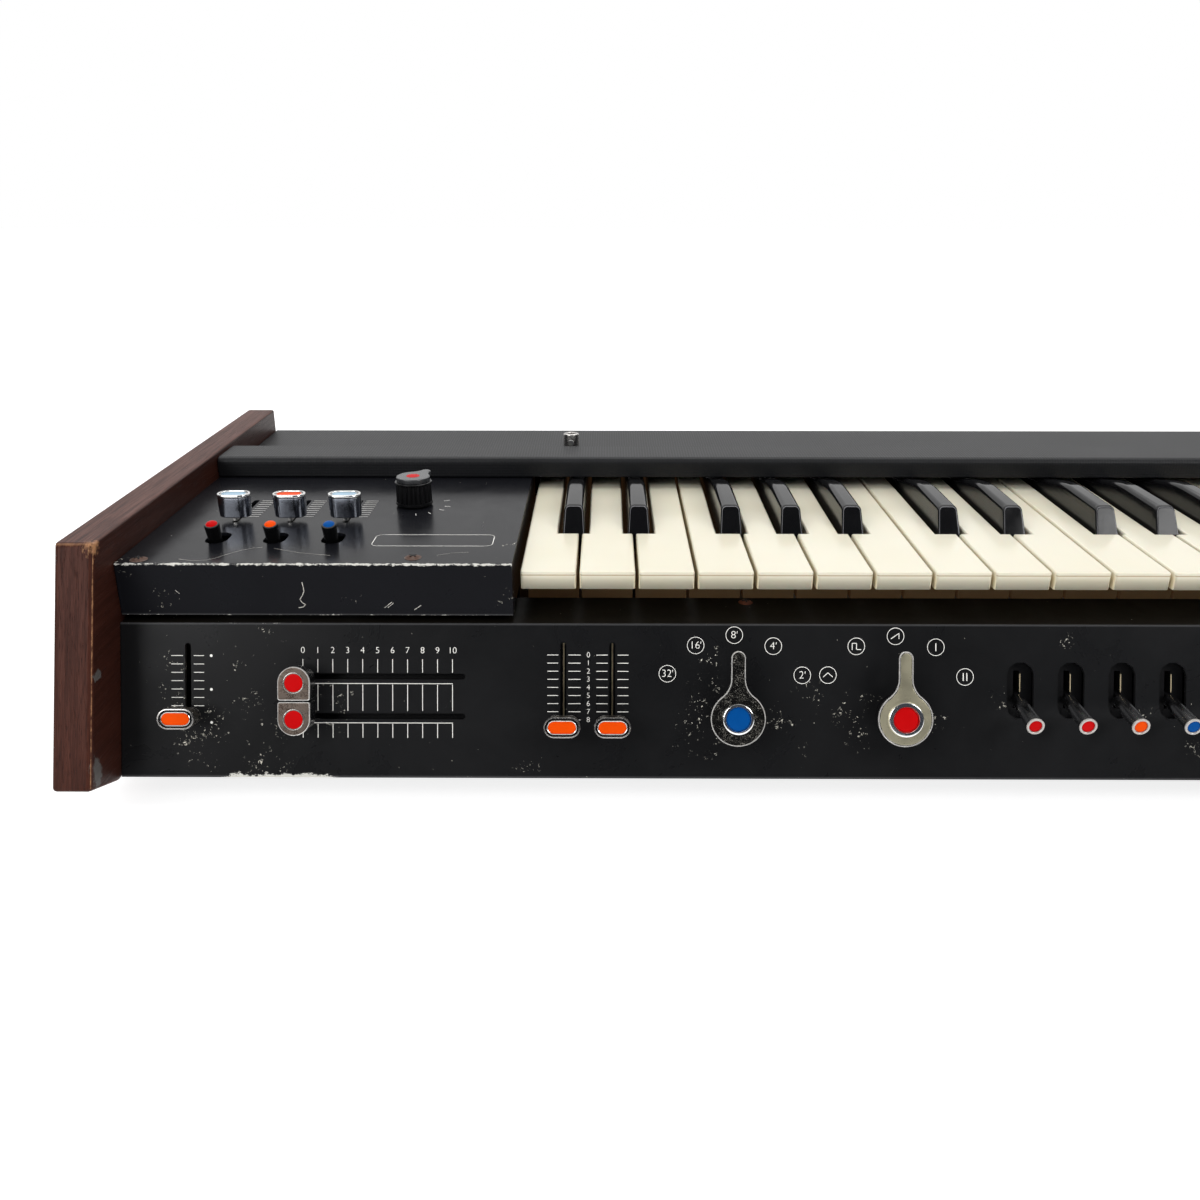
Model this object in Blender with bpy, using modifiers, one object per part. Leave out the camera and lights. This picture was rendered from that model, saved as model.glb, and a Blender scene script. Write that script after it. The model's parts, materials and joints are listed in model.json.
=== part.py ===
"""An analog synthesizer with a 37-note keyboard, modelled piece by piece.

Metres, +Z up. The origin is the middle of the case on the surface it stands on, and the player's
side faces -Y. Controls on the sloped front are placed in that panel's own plane: X to the right,
Y up the slope and Z out of the face, measured from the middle of the panel's top edge.
"""

import math
from itertools import accumulate

import bmesh
import bpy
from mathutils import Matrix, Vector

# Case
CASE_WIDTH = 0.738
CHEEK_THICKNESS = 0.015
CHEEK_TOP = 0.107
CHEEK_REAR = 0.1394
CHEEK_TOP_FRONT = -0.1045
CHEEK_TOE = (-0.140, 0.0208)
CHEEK_HEEL = -0.1165
CHEEK_ROUND = 0.0016
FOOT_HEIGHT = 0.012
FOOT_RADIUS = 0.011
FOOT_TAPER = 0.0015
FOOT_INSET_X = 0.036
FOOT_FRONT = -0.082
FOOT_REAR = 0.112
SHEET = 0.0015
GAP = 0.0003

# Front panel, sloped, with a level ledge behind its top edge
PANEL_TILT = math.radians(20.0)
PANEL_TOP = (-0.0944, 0.0706)
PANEL_LENGTH = 0.0612
LEDGE_REAR = -0.066
LEDGE_FLANGE = 0.012

# Effects panel at the left of the keys, and the block at their right
EFFECTS_WIDTH = 0.1553
EFFECTS_TOP = 0.0947
BOX_FRONT = -0.092
BOX_FRONT_FOOT = 0.0731
BOX_REAR = 0.056
BOX_ROUND = 0.0010
BOX_LEG_FRONT = -0.058
END_BLOCK_WIDTH = 0.0317

# Cover over the rear of the keys: a raised strip, then a lower deck
STRIP_FRONT = 0.035
STRIP_REAR = 0.060
STRIP_TOP = 0.1048
STRIP_ROUND = 0.0032
DECK_TOP = 0.0951
COVER_SHEET = 0.002
COVER_REAR = 0.1384
REAR_WALL = 0.1370

# Posts for a music stand
POST_RADIUS = 0.004
POST_HEIGHT = 0.0138
POST_BORE = 0.0022
POST_BORE_DEPTH = 0.009
POST_CHAMFER = 0.0006
POST_FLANGE = 0.0052
POST_FLANGE_HEIGHT = 0.0012
POST_INSET = 0.1737
POST_Y = 0.070
SET_SCREW_RADIUS = 0.0016
SET_SCREW_REACH = 0.0011
SET_SCREW_HEIGHT = 0.0096

# Keyboard, between the two boxes
KEY_GAP = 0.0014
KEYS_INSET = 0.0020
NATURALS = 22
HINGED_KEYS = 24
KEY_TOP = 0.0896
KEY_FRONT = -0.0865
KEY_LIP = 0.0074
KEY_BODY_FRONT = -0.045
KEY_BODY_DEPTH = 0.0276
KEY_EDGE = 0.0012
KEY_LIP_LEAN = 0.0004
NOTCH_FRONT = -0.0372
NOTCH_CLEARANCE = 0.0019
PIVOT_Y = 0.112
PIVOT_DROP = 0.0096
KEY_REAR = 0.120
KEY_TAIL_DEPTH = 0.0060
KEY_TAIL_STEP = 0.098
KEY_STEP_RUN = 0.004
SEAT_HALF = 0.006
SEAT_SLACK = 0.0005
SHARP_WIDTH = 0.0098
SHARP_TOP_WIDTH = 0.0086
SHARP_FOOT_FRONT = -0.0347
SHARP_TOP_FRONT = -0.0285
SHARP_UNDERCUT = 0.0026
SHARP_RISE = 0.0100
SHARP_LEVEL_END = 0.004
SHARP_TAIL_RISE = 0.0044
SHARP_TAIL_START = 0.036
SHARP_FALL_STEPS = 5
SHARP_FALL_POWER = 1.6
SHARP_TAIL_REST = 0.052
SHARP_TAIL_LOW_RISE = 0.0024
SHARP_NOSE = 0.0022
SHARP_FOOT_RISE = 0.0003
SHARP_EDGE = 0.0012
SHARP_EDGE_PROFILE = 0.6
SHARP_LEAN = {1: -0.0030, 3: 0.0020, 6: -0.0045, 8: -0.0015, 10: 0.0018}
NOTE_NAMES = ("c", "c_sharp", "d", "d_sharp", "e", "f", "f_sharp", "g", "g_sharp", "a", "a_sharp", "b")

# Key frame: a pressed channel with the pivot rail behind and guide tongues in front
FRAME_FRONT = -0.052
RAIL_FRONT = -0.0425
RAIL_REAR = -0.0160
FRAME_REACH = 0.0100
RAIL_DROP = 0.0095
GUIDE_Y = -0.0205
GUIDE_DEPTH = 0.0040
GUIDE_WIDTH = 0.0050
GUIDE_RISE = 0.0195
GUIDE_SLACK = 0.0007
GUIDE_SLOT_DEPTH = 0.0070
GUIDE_HEADROOM = 0.0115
PIVOT_RAIL = 0.0030
PIVOT_EDGE = 0.0004

# Steps across the front panel from the left cheek to the right one. They stretch with the case
VOLUME_STEP = 0.0267
TWIN_STEP = 0.0456
ATTACK_STEP = 0.1029
PERCUSSION_STEP = 0.0194
SCALE_STEP = 0.0483
MODE_STEP = 0.0642
LEVER_STEP = 0.0483
LEVER_PITCH = 0.0200
LEVERS_IN_ROW = 6
SPEED_STEP = 0.0633
DEPTH_STEP = 0.0670
LAST_LEVER_STEP = 0.0760
CLOSING_STEP = 0.0457

# Sliders
CAP_LENGTH = 0.0142
CAP_WIDTH = 0.0082
CAP_TAPER = 0.0005
CAP_FACE = 0.0140
CAP_BACK = 0.0045
CAP_ROUND = 0.0007
CAP_POCKET = 0.0005
CAP_RIM = 0.0014
STEM_WIDTH = 0.0017
STEM_LENGTH = 0.0045
SLOT_WIDTH = 0.0024
VOLUME_REST = 0.0363
VOLUME_TRAVEL = 0.0234
ENVELOPE_REST = 0.0392
ENVELOPE_TRAVEL = 0.0269
SLOT_FAR = 0.0050
SLOT_NEAR = 0.0036

# Twin cross sliders with D-shaped caps
TWIN_TRAVEL = 0.0592
TWIN_STEMS = (0.0210, 0.0368)
TWIN_SPLIT = 0.02935
TWIN_CAP_GAP = 0.0006
TWIN_CAP_WIDTH = 0.0125
TWIN_CAP_LENGTH = 0.0130
TWIN_INSERT_RADIUS = 0.0037

# Pointer knobs
KNOB_DOWN = 0.0359
KNOB_RADIUS = 0.0106
KNOB_REACH = 0.0262
KNOB_NECK = 0.0056
KNOB_FILLET = 0.0090
KNOB_BACK = 0.0100
KNOB_FACE = 0.0128
KNOB_ROUND = 0.0008
KNOB_HUB = 0.0085
KNOB_HUB_FOOT = 0.0006
KNOB_BOSS = 0.0065
KNOB_BOSS_FACE = 0.0140
KNOB_POCKET_RADIUS = 0.0051
KNOB_POCKET = 0.0006
KNOB_SHAFT = 0.0030
KNOB_HOLE = 0.0038

# Lever switches
LEVER_SLOT_DOWN = 0.0259
LEVER_SLOT = (0.0083, 0.0210)
LEVER_THROW = math.radians(23.0)
LEVER_LENGTH = 0.0310
LEVER_PIVOT = 0.0120
LEVER_BLADE = (0.0018, 0.0030)
LEVER_COLLAR = 0.0102
LEVER_ROOT_RADIUS = 0.0019
LEVER_NECK_RADIUS = 0.0027
LEVER_TIP_RADIUS = 0.0034
LEVER_TIP_LENGTH = 0.0042
LEVER_TIP_POCKET = (0.0024, 0.0005)
SWITCH_FACE = 0.0045
SWITCH_BODY = (0.0120, 0.0260)
SWITCH_SLIT = (0.0024, 0.0150)

# Boards behind the panels, with the bodies of the controls on them
BOARD_THICKNESS = 0.0016
BOARD_BACK = 0.0200
BOARD_LENGTH = 0.0470
BOARD_TOP = 0.0050
BOARD_MARGIN = 0.0180
POT_FACE = 0.0050
POT_WIDTH = 0.0090
POT_END = 0.0060
ROTARY_RADIUS = 0.0080
ROTARY_FACE = 0.0060
PILLAR_RADIUS = 0.0026

# Controls on the effects panel. An OFFSET is measured from the left cheek's inner face
EFFECT_OFFSETS = (0.0307, 0.0547, 0.0787)
EFFECT_SLIDER_REST = -0.0355
EFFECT_TRAVEL = 0.0260
EFFECT_CAP_BACK = 0.0033
EFFECT_CAP_FACE = 0.0122
EFFECT_SWITCH_Y = -0.0602
EFFECT_SWITCH_SLOT = (0.0090, 0.0150)
EFFECT_SWITCH_THROW = math.radians(17.0)
EFFECT_SWITCH_PIVOT = 0.0110
EFFECT_SWITCH_LENGTH = 0.0198
EFFECT_SWITCH_ROOT = 0.0022
EFFECT_SWITCH_TIP = 0.0031
EFFECT_SWITCH_TAPER = 0.0093
EFFECT_SWITCH_POCKET = (0.0023, 0.0004)
EFFECT_BOARD_DROP = 0.0200
EFFECT_BOARD_MARGIN = 0.0100
SELECTOR_OFFSET = 0.1047
SELECTOR_Y = -0.012
SELECTOR_RADIUS = 0.0078
SELECTOR_FLUTES = 16
SELECTOR_FLUTE_DEPTH = 0.0006
SELECTOR_FOOT = 0.0008
SELECTOR_HEIGHT = 0.0115
SELECTOR_SKIRT = 0.0083
SELECTOR_SKIRT_HEIGHT = 0.0014
SELECTOR_DISC = 0.0022
SELECTOR_REACH = 0.0134
SELECTOR_NECK = 0.0044
SELECTOR_HEADING = math.radians(66.0)
SELECTOR_DOT = 0.0030
SELECTOR_DOT_DEPTH = 0.0004
SELECTOR_SHAFT = 0.0030

# Rear sockets
SOCKET_OFFSETS = (0.1037, 0.1287, 0.1537)
SOCKET_Z = 0.050
SOCKET_RADIUS = 0.0055
SOCKET_BORE = 0.0032
SOCKET_REACH = 0.0024
SOCKET_MOUTH = 0.0035
SOCKET_BODY = (0.0600, 0.0180, 0.0160)

ROUND_STEPS = 14
EPSILON = 0.0002

INNER = CASE_WIDTH / 2 - CHEEK_THICKNESS - GAP
EFFECTS_RIGHT = EFFECTS_WIDTH - INNER
KEYS_LEFT = EFFECTS_RIGHT + KEYS_INSET
KEYS_RIGHT = INNER - END_BLOCK_WIDTH - KEY_GAP
KEY_PITCH = (KEYS_RIGHT - KEYS_LEFT) / NATURALS
POST_X = INNER - POST_INSET
SLIDER_STEPS = (VOLUME_STEP, TWIN_STEP, ATTACK_STEP, PERCUSSION_STEP)
LEVER_STEPS = (LEVER_STEP, *[LEVER_PITCH] * (LEVERS_IN_ROW - 1))
FRONT_STEPS = (*SLIDER_STEPS, SCALE_STEP, MODE_STEP, *LEVER_STEPS, SPEED_STEP, DEPTH_STEP, LAST_LEVER_STEP)
STRETCH = 2 * INNER / (sum(FRONT_STEPS) + CLOSING_STEP)
FRONT_XS = [reach * STRETCH - INNER for reach in accumulate(FRONT_STEPS)]
VOLUME_X, TWIN_X, ATTACK_X, PERCUSSION_X, SCALE_X, MODE_X, *LEVER_ROW_XS = FRONT_XS[:-3]
SPEED_X, DEPTH_X, LAST_LEVER_X = FRONT_XS[-3:]
ENVELOPE_XS = (ATTACK_X, PERCUSSION_X)
KNOB_XS = (SCALE_X, MODE_X, SPEED_X, DEPTH_X)
LEVER_XS = (*LEVER_ROW_XS, LAST_LEVER_X)
KEY_BODY_FOOT = KEY_TOP - KEY_BODY_DEPTH
PIVOT_Z = KEY_TOP - PIVOT_DROP
KEY_TAIL_FOOT = PIVOT_Z - KEY_TAIL_DEPTH
SHARP_TOP = KEY_TOP + SHARP_RISE
SHARP_TAIL_TOP = KEY_TOP + SHARP_TAIL_RISE
SHARP_TAIL_LOW = KEY_TOP + SHARP_TAIL_LOW_RISE
RAIL_TOP = KEY_BODY_FOOT - RAIL_DROP
GUIDE_TOP = RAIL_TOP + GUIDE_RISE
GUIDE_SLOT_TOP = GUIDE_TOP + GUIDE_HEADROOM
EFFECT_XS = tuple(offset - INNER for offset in EFFECT_OFFSETS)
SELECTOR_PLACE = (SELECTOR_OFFSET - INNER, SELECTOR_Y)
SOCKET_XS = tuple(offset - INNER for offset in SOCKET_OFFSETS)
CASE_FLOOR = FOOT_HEIGHT
PAN_TOP = CASE_FLOOR + SHEET
SIDEWAYS = Matrix(((0, 0, 1, 0), (1, 0, 0, 0), (0, 1, 0, 0), (0, 0, 0, 1)))

PALETTE = {
    "wood": ((0.16, 0.055, 0.032), 0.45, 0.0),
    "black_paint": ((0.012, 0.012, 0.013), 0.38, 0.0),
    "black_vinyl": ((0.014, 0.014, 0.015), 0.55, 0.0),
    "ivory": ((0.86, 0.80, 0.62), 0.30, 0.0),
    "ebony": ((0.008, 0.008, 0.009), 0.12, 0.0),
    "chrome": ((0.62, 0.61, 0.60), 0.16, 1.0),
    "black_plastic": ((0.012, 0.012, 0.012), 0.35, 0.0),
    "steel": ((0.42, 0.42, 0.41), 0.38, 1.0),
    "board": ((0.30, 0.19, 0.07), 0.55, 0.0),
}


def outlined(points, thickness):
    """Returns the mesh of a flat outline in XY, thickened evenly to both sides of Z = 0."""
    curve = bpy.data.curves.new("outline", "CURVE")
    curve.dimensions = "2D"
    curve.fill_mode = "BOTH"
    curve.extrude = thickness / 2
    spline = curve.splines.new("POLY")
    spline.points.add(len(points) - 1)
    for point, (x, y) in zip(spline.points, points):
        point.co = (x, y, 0, 1)
    spline.use_cyclic_u = True
    return baked(bpy.data.objects.new("outline", curve))


def turned(profile, steps=ROUND_STEPS):
    """Returns the mesh of a profile of (radius, height) points, top to bottom, turned about Z."""
    mesh = bpy.data.meshes.new("profile")
    rim = [(radius, 0.0, height) for radius, height in profile]
    mesh.from_pydata(rim, [(i, i + 1) for i in range(len(rim) - 1)], [])
    blank = bpy.data.objects.new("profile", mesh)
    screw = blank.modifiers.new("turn", "SCREW")
    screw.steps = steps
    screw.render_steps = steps
    screw.use_merge_vertices = True
    screw.merge_threshold = 0.00001
    screw.use_smooth_shade = False
    return baked(blank)


def baked(blank):
    """Returns the evaluated mesh of a blank that is then removed."""
    bpy.context.scene.collection.objects.link(blank)
    graph = bpy.context.evaluated_depsgraph_get()
    mesh = bpy.data.meshes.new_from_object(blank.evaluated_get(graph))
    bpy.data.objects.remove(blank)
    welded = bmesh.new()
    welded.from_mesh(mesh)
    bmesh.ops.remove_doubles(welded, verts=welded.verts, dist=0.000005)
    bmesh.ops.recalc_face_normals(welded, faces=welded.faces)
    welded.to_mesh(mesh)
    welded.free()
    return mesh


def block(low, high):
    """Returns the mesh of a box between two opposite corners."""
    size = Vector(high) - Vector(low)
    middle = (Vector(high) + Vector(low)) / 2
    built = bmesh.new()
    bmesh.ops.create_cube(built, size=1.0, matrix=Matrix.Translation(middle) @ Matrix.Diagonal((*size, 1)))
    mesh = bpy.data.meshes.new("block")
    built.to_mesh(mesh)
    built.free()
    return mesh


def round_bar(radius, low, high, steps=ROUND_STEPS, centre=(0.0, 0.0)):
    """Returns the mesh of an upright cylinder between two heights."""
    built = bmesh.new()
    place = Matrix.Translation((*centre, (low + high) / 2))
    bmesh.ops.create_cone(
        built, cap_ends=True, segments=steps, radius1=radius, radius2=radius, depth=high - low, matrix=place
    )
    mesh = bpy.data.meshes.new("round_bar")
    built.to_mesh(mesh)
    built.free()
    return mesh


def moved(mesh, matrix):
    """Returns the mesh after carrying it by a matrix."""
    mesh.transform(matrix)
    return mesh


def sideways(points, x_low, x_high):
    """Returns a (Y, Z) profile drawn out along X between two places."""
    return moved(outlined(points, x_high - x_low), Matrix.Translation(((x_low + x_high) / 2, 0, 0)) @ SIDEWAYS)


def raised(points, low, high):
    """Returns an (X, Y) outline drawn up between two heights."""
    return moved(outlined(points, high - low), Matrix.Translation((0, 0, (low + high) / 2)))


def arc(centre, radius, start, end, steps):
    """Returns points along an arc, both ends included."""
    turns = [start + (end - start) * i / steps for i in range(steps + 1)]
    return [(centre[0] + radius * math.cos(a), centre[1] + radius * math.sin(a)) for a in turns]


def stadium(width, length, steps=5):
    """Returns a slot outline with round ends, width along X and length along Y."""
    radius = min(width, length) / 2
    reach = (max(width, length)) / 2 - radius
    ends = arc((0, reach), radius, 0, math.pi, steps) + arc((0, -reach), radius, math.pi, 2 * math.pi, steps)
    if length >= width:
        return ends
    return [(y, -x) for x, y in ends]


def teardrop(radius, reach, neck, fillet, steps=12):
    """Returns a round body that narrows through two hollow curves into a pointer along +Y."""
    tip = neck / 2
    side = fillet + tip
    rise = math.sqrt((radius + fillet) ** 2 - side**2)
    meet = math.atan2(rise, side)
    body = arc((0, 0), radius, math.pi - meet, 2 * math.pi + meet, steps)
    right = arc((side, rise), fillet, math.pi + meet, math.pi, 3)
    nose = arc((0, reach - tip), tip, 0, math.pi, 4)
    left = arc((-side, rise), fillet, 0, -meet, 3)
    return body + right[1:] + nose + left[:-1]


def fluted(radius, depth, count):
    """Returns a circle whose rim dips between evenly spaced ribs."""
    points = []
    for i in range(count * 4):
        crest = radius - (depth if i % 4 in (2, 3) else 0.0)
        angle = 2 * math.pi * (i + 0.5) / (count * 4)
        points.append((crest * math.cos(angle), crest * math.sin(angle)))
    return points


class Workshop:
    """Holds the collections, the materials and the frames that the pieces are placed in."""

    def __init__(self):
        for old in list(bpy.data.objects):
            bpy.data.objects.remove(old)
        self.parts = self.collection("analog_synthesizer")
        self.cutters = self.collection("cutters")
        self.materials = {name: self.material(name, *look) for name, look in PALETTE.items()}
        self.panel = self.empty("panel_plane", (0, *PANEL_TOP), math.pi / 2 - PANEL_TILT)
        self.effects = self.empty("effects_plane", (0, 0, EFFECTS_TOP), 0.0)

    def collection(self, name):
        """Makes a collection in the scene."""
        made = bpy.data.collections.new(name)
        bpy.context.scene.collection.children.link(made)
        return made

    def material(self, name, colour, roughness, metallic):
        """Makes a plain material."""
        made = bpy.data.materials.new(name)
        made.use_nodes = True
        shader = made.node_tree.nodes["Principled BSDF"]
        shader.inputs["Base Color"].default_value = (*colour, 1)
        shader.inputs["Roughness"].default_value = roughness
        shader.inputs["Metallic"].default_value = metallic
        return made

    def empty(self, name, place, tilt):
        """Makes an empty turned about X."""
        made = bpy.data.objects.new(name, None)
        made.location = place
        made.rotation_euler = (tilt, 0, 0)
        self.parts.objects.link(made)
        return made

    def piece(self, name, mesh, look, place=(0, 0, 0), parent=None):
        """Makes a sub-part from a mesh."""
        made = bpy.data.objects.new(name, mesh)
        mesh.name = name
        mesh.materials.clear()
        own = self.materials[look].copy()
        own.name = name
        mesh.materials.append(own)
        made.location = place
        made.parent = parent
        self.parts.objects.link(made)
        return made

    def tool(self, name, mesh, place=(0, 0, 0), parent=None, turn=(0, 0, 0)):
        """Makes a hidden shape that other pieces are cut by or joined with."""
        made = bpy.data.objects.new(name, mesh)
        made.location = place
        made.rotation_euler = turn
        made.parent = parent
        made.hide_render = True
        made.display_type = "WIRE"
        self.cutters.objects.link(made)
        return made

    def combine(self, target, tool, operation):
        """Adds a Boolean to a piece."""
        step = target.modifiers.new(operation.lower(), "BOOLEAN")
        step.operation = operation
        step.solver = "EXACT"
        step.object = tool

    def cut(self, target, tool):
        """Cuts a tool out of a piece."""
        self.combine(target, tool, "DIFFERENCE")

    def join(self, target, tool):
        """Fuses a tool with a piece."""
        self.combine(target, tool, "UNION")

    def soften(self, target, width, segments=1, angle=math.radians(50)):
        """Rounds the sharp edges of a piece."""
        step = target.modifiers.new("rounding", "BEVEL")
        step.width = width
        step.segments = segments
        step.limit_method = "ANGLE"
        step.angle_limit = angle
        step.harden_normals = False


def merged(meshes):
    """Returns one mesh that holds several separate bodies."""
    built = bmesh.new()
    for mesh in meshes:
        built.from_mesh(mesh)
    whole = bpy.data.meshes.new("merged")
    built.to_mesh(whole)
    built.free()
    return whole


def panel_y(height, behind=0.0):
    """Returns where the sloped face, or a plane behind it, stands at a height."""
    return PANEL_TOP[0] - (PANEL_TOP[1] - height) * math.tan(PANEL_TILT) + behind / math.cos(PANEL_TILT)


def make_cheeks(shop):
    """Makes the two wooden ends of the case."""
    outline = [
        (CHEEK_TOP_FRONT, CHEEK_TOP),
        (CHEEK_REAR, CHEEK_TOP),
        (CHEEK_REAR, CASE_FLOOR),
        (CHEEK_HEEL, CASE_FLOOR),
        CHEEK_TOE,
    ]
    outer = CASE_WIDTH / 2
    inner = outer - CHEEK_THICKNESS
    for name, low, high in (("left_cheek", -outer, -inner), ("right_cheek", inner, outer)):
        cheek = shop.piece(name, sideways(outline, low, high), "wood")
        shop.soften(cheek, CHEEK_ROUND, 2, math.radians(15))


def make_bottom_pan(shop):
    """Makes the folded floor and rear wall with the four feet under it."""
    front = panel_y(PAN_TOP, SHEET) + GAP
    wall_top = DECK_TOP - COVER_SHEET - GAP
    outline = [
        (front, CASE_FLOOR),
        (REAR_WALL, CASE_FLOOR),
        (REAR_WALL, wall_top),
        (REAR_WALL - SHEET, wall_top),
        (REAR_WALL - SHEET, PAN_TOP),
        (front, PAN_TOP),
    ]
    pan = shop.piece("bottom_pan", sideways(outline, -INNER, INNER), "steel")
    for side in (-1, 1):
        for y in (FOOT_FRONT, FOOT_REAR):
            profile = [
                (0, CASE_FLOOR + SHEET / 2),
                (FOOT_RADIUS, CASE_FLOOR + SHEET / 2),
                (FOOT_RADIUS, FOOT_HEIGHT / 2),
                (FOOT_RADIUS - FOOT_TAPER, 0),
                (0, 0),
            ]
            place = (side * (INNER - FOOT_INSET_X), y, 0)
            shop.join(pan, shop.tool("foot_shape", turned(profile), place))
    for x in SOCKET_XS:
        hole = round_bar(SOCKET_RADIUS + GAP, -SHEET * 2, SHEET * 2)
        shop.cut(pan, shop.tool("socket_hole", hole, (x, REAR_WALL, SOCKET_Z), turn=(math.pi / 2, 0, 0)))


def make_rear_sockets(shop):
    """Makes the strip of sockets whose threaded noses pass through the rear wall."""
    wide, deep, tall = SOCKET_BODY
    inside = REAR_WALL - SHEET - GAP
    middle = sum(SOCKET_XS) / len(SOCKET_XS)
    low = (middle - wide / 2, inside - deep, SOCKET_Z - tall / 2)
    high = (middle + wide / 2, inside, SOCKET_Z + tall / 2)
    sockets = shop.piece("rear_sockets", block(low, high), "steel")
    nose_end = SHEET + GAP + SOCKET_REACH
    for x in SOCKET_XS:
        nose = turned(
            [
                (0, nose_end - SOCKET_MOUTH),
                (SOCKET_BORE, nose_end - SOCKET_MOUTH),
                (SOCKET_BORE, nose_end),
                (SOCKET_RADIUS, nose_end),
                (SOCKET_RADIUS, -SHEET),
                (0, -SHEET),
            ]
        )
        shop.join(sockets, shop.tool("socket_nose", nose, (x, inside, SOCKET_Z), turn=(-math.pi / 2, 0, 0)))


def slot_places():
    """Returns the middle and size of each slider's slot in the front panel, down the slope."""
    places = []
    for x, rest, travel in [(VOLUME_X, VOLUME_REST, VOLUME_TRAVEL)] + [
        (x, ENVELOPE_REST, ENVELOPE_TRAVEL) for x in ENVELOPE_XS
    ]:
        length = travel + SLOT_FAR + SLOT_NEAR
        middle = rest + SLOT_NEAR - length / 2
        places.append(((x, -middle, 0), (SLOT_WIDTH, length)))
    length = TWIN_TRAVEL + SLOT_FAR + SLOT_NEAR
    for down in TWIN_STEMS:
        places.append(((TWIN_X - SLOT_NEAR + length / 2, -down, 0), (length, SLOT_WIDTH)))
    return places


def make_front_panel(shop):
    """Makes the folded panel: sloped face, level ledge and rear flange, with its openings."""
    top_y, top_z = PANEL_TOP
    foot = top_z - PANEL_LENGTH * math.cos(PANEL_TILT)
    outline = [
        (panel_y(foot), foot),
        (top_y, top_z),
        (LEDGE_REAR, top_z),
        (LEDGE_REAR, top_z - LEDGE_FLANGE),
        (LEDGE_REAR - SHEET, top_z - LEDGE_FLANGE),
        (LEDGE_REAR - SHEET, top_z - SHEET),
        (panel_y(top_z - SHEET, SHEET), top_z - SHEET),
        (panel_y(foot, SHEET), foot),
    ]
    panel = shop.piece("front_panel", sideways(outline, -INNER, INNER), "black_paint")
    through = (-SHEET * 3, SHEET * 2)
    cutters = [(place, raised(stadium(*size), *through)) for place, size in slot_places()]
    for x in LEVER_XS:
        cutters.append(((x, -LEVER_SLOT_DOWN, 0), raised(stadium(*LEVER_SLOT), *through)))
    for x in KNOB_XS:
        cutters.append(((x, -KNOB_DOWN, 0), round_bar(KNOB_HOLE, *through, steps=12)))
    holes = [moved(mesh, Matrix.Translation(place)) for place, mesh in cutters]
    shop.cut(panel, shop.tool("panel_openings", merged(holes), parent=shop.panel))


def raised_box(shop, name, x_low, x_high):
    """Makes a folded box, open below, whose two side walls stand on the floor of the pan."""
    outline = [
        (BOX_FRONT, BOX_FRONT_FOOT),
        *arc((BOX_FRONT + BOX_ROUND, EFFECTS_TOP - BOX_ROUND), BOX_ROUND, math.pi, math.pi / 2, 3),
        (BOX_REAR, EFFECTS_TOP),
        (BOX_REAR, PAN_TOP + GAP),
        (BOX_LEG_FRONT, PAN_TOP + GAP),
        (BOX_LEG_FRONT, BOX_FRONT_FOOT),
    ]
    box = shop.piece(name, sideways(outline, x_low, x_high), "black_paint")
    low = (x_low + SHEET, BOX_FRONT + SHEET, 0)
    high = (x_high - SHEET, BOX_REAR - SHEET, EFFECTS_TOP - SHEET)
    shop.cut(box, shop.tool(name + "_hollow", block(low, high)))
    return box


def make_raised_boxes(shop):
    """Makes the effects panel, with its openings, and the plain block at the other end."""
    box = raised_box(shop, "effects_panel", -INNER, EFFECTS_RIGHT)
    raised_box(shop, "right_end_block", KEYS_RIGHT + KEY_GAP, INNER)
    through = (-SHEET * 2, SHEET * 2)
    slot_length = EFFECT_TRAVEL + SLOT_FAR + SLOT_NEAR
    holes = []
    for x in EFFECT_XS:
        middle = EFFECT_SLIDER_REST - SLOT_NEAR + slot_length / 2
        slot = raised(stadium(SLOT_WIDTH, slot_length), *through)
        holes.append(moved(slot, Matrix.Translation((x, middle, 0))))
        slot = raised(stadium(*EFFECT_SWITCH_SLOT), *through)
        holes.append(moved(slot, Matrix.Translation((x, EFFECT_SWITCH_Y, 0))))
    holes.append(round_bar(KNOB_HOLE, *through, steps=12, centre=SELECTOR_PLACE))
    shop.cut(box, shop.tool("effects_openings", merged(holes), parent=shop.effects))


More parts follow.
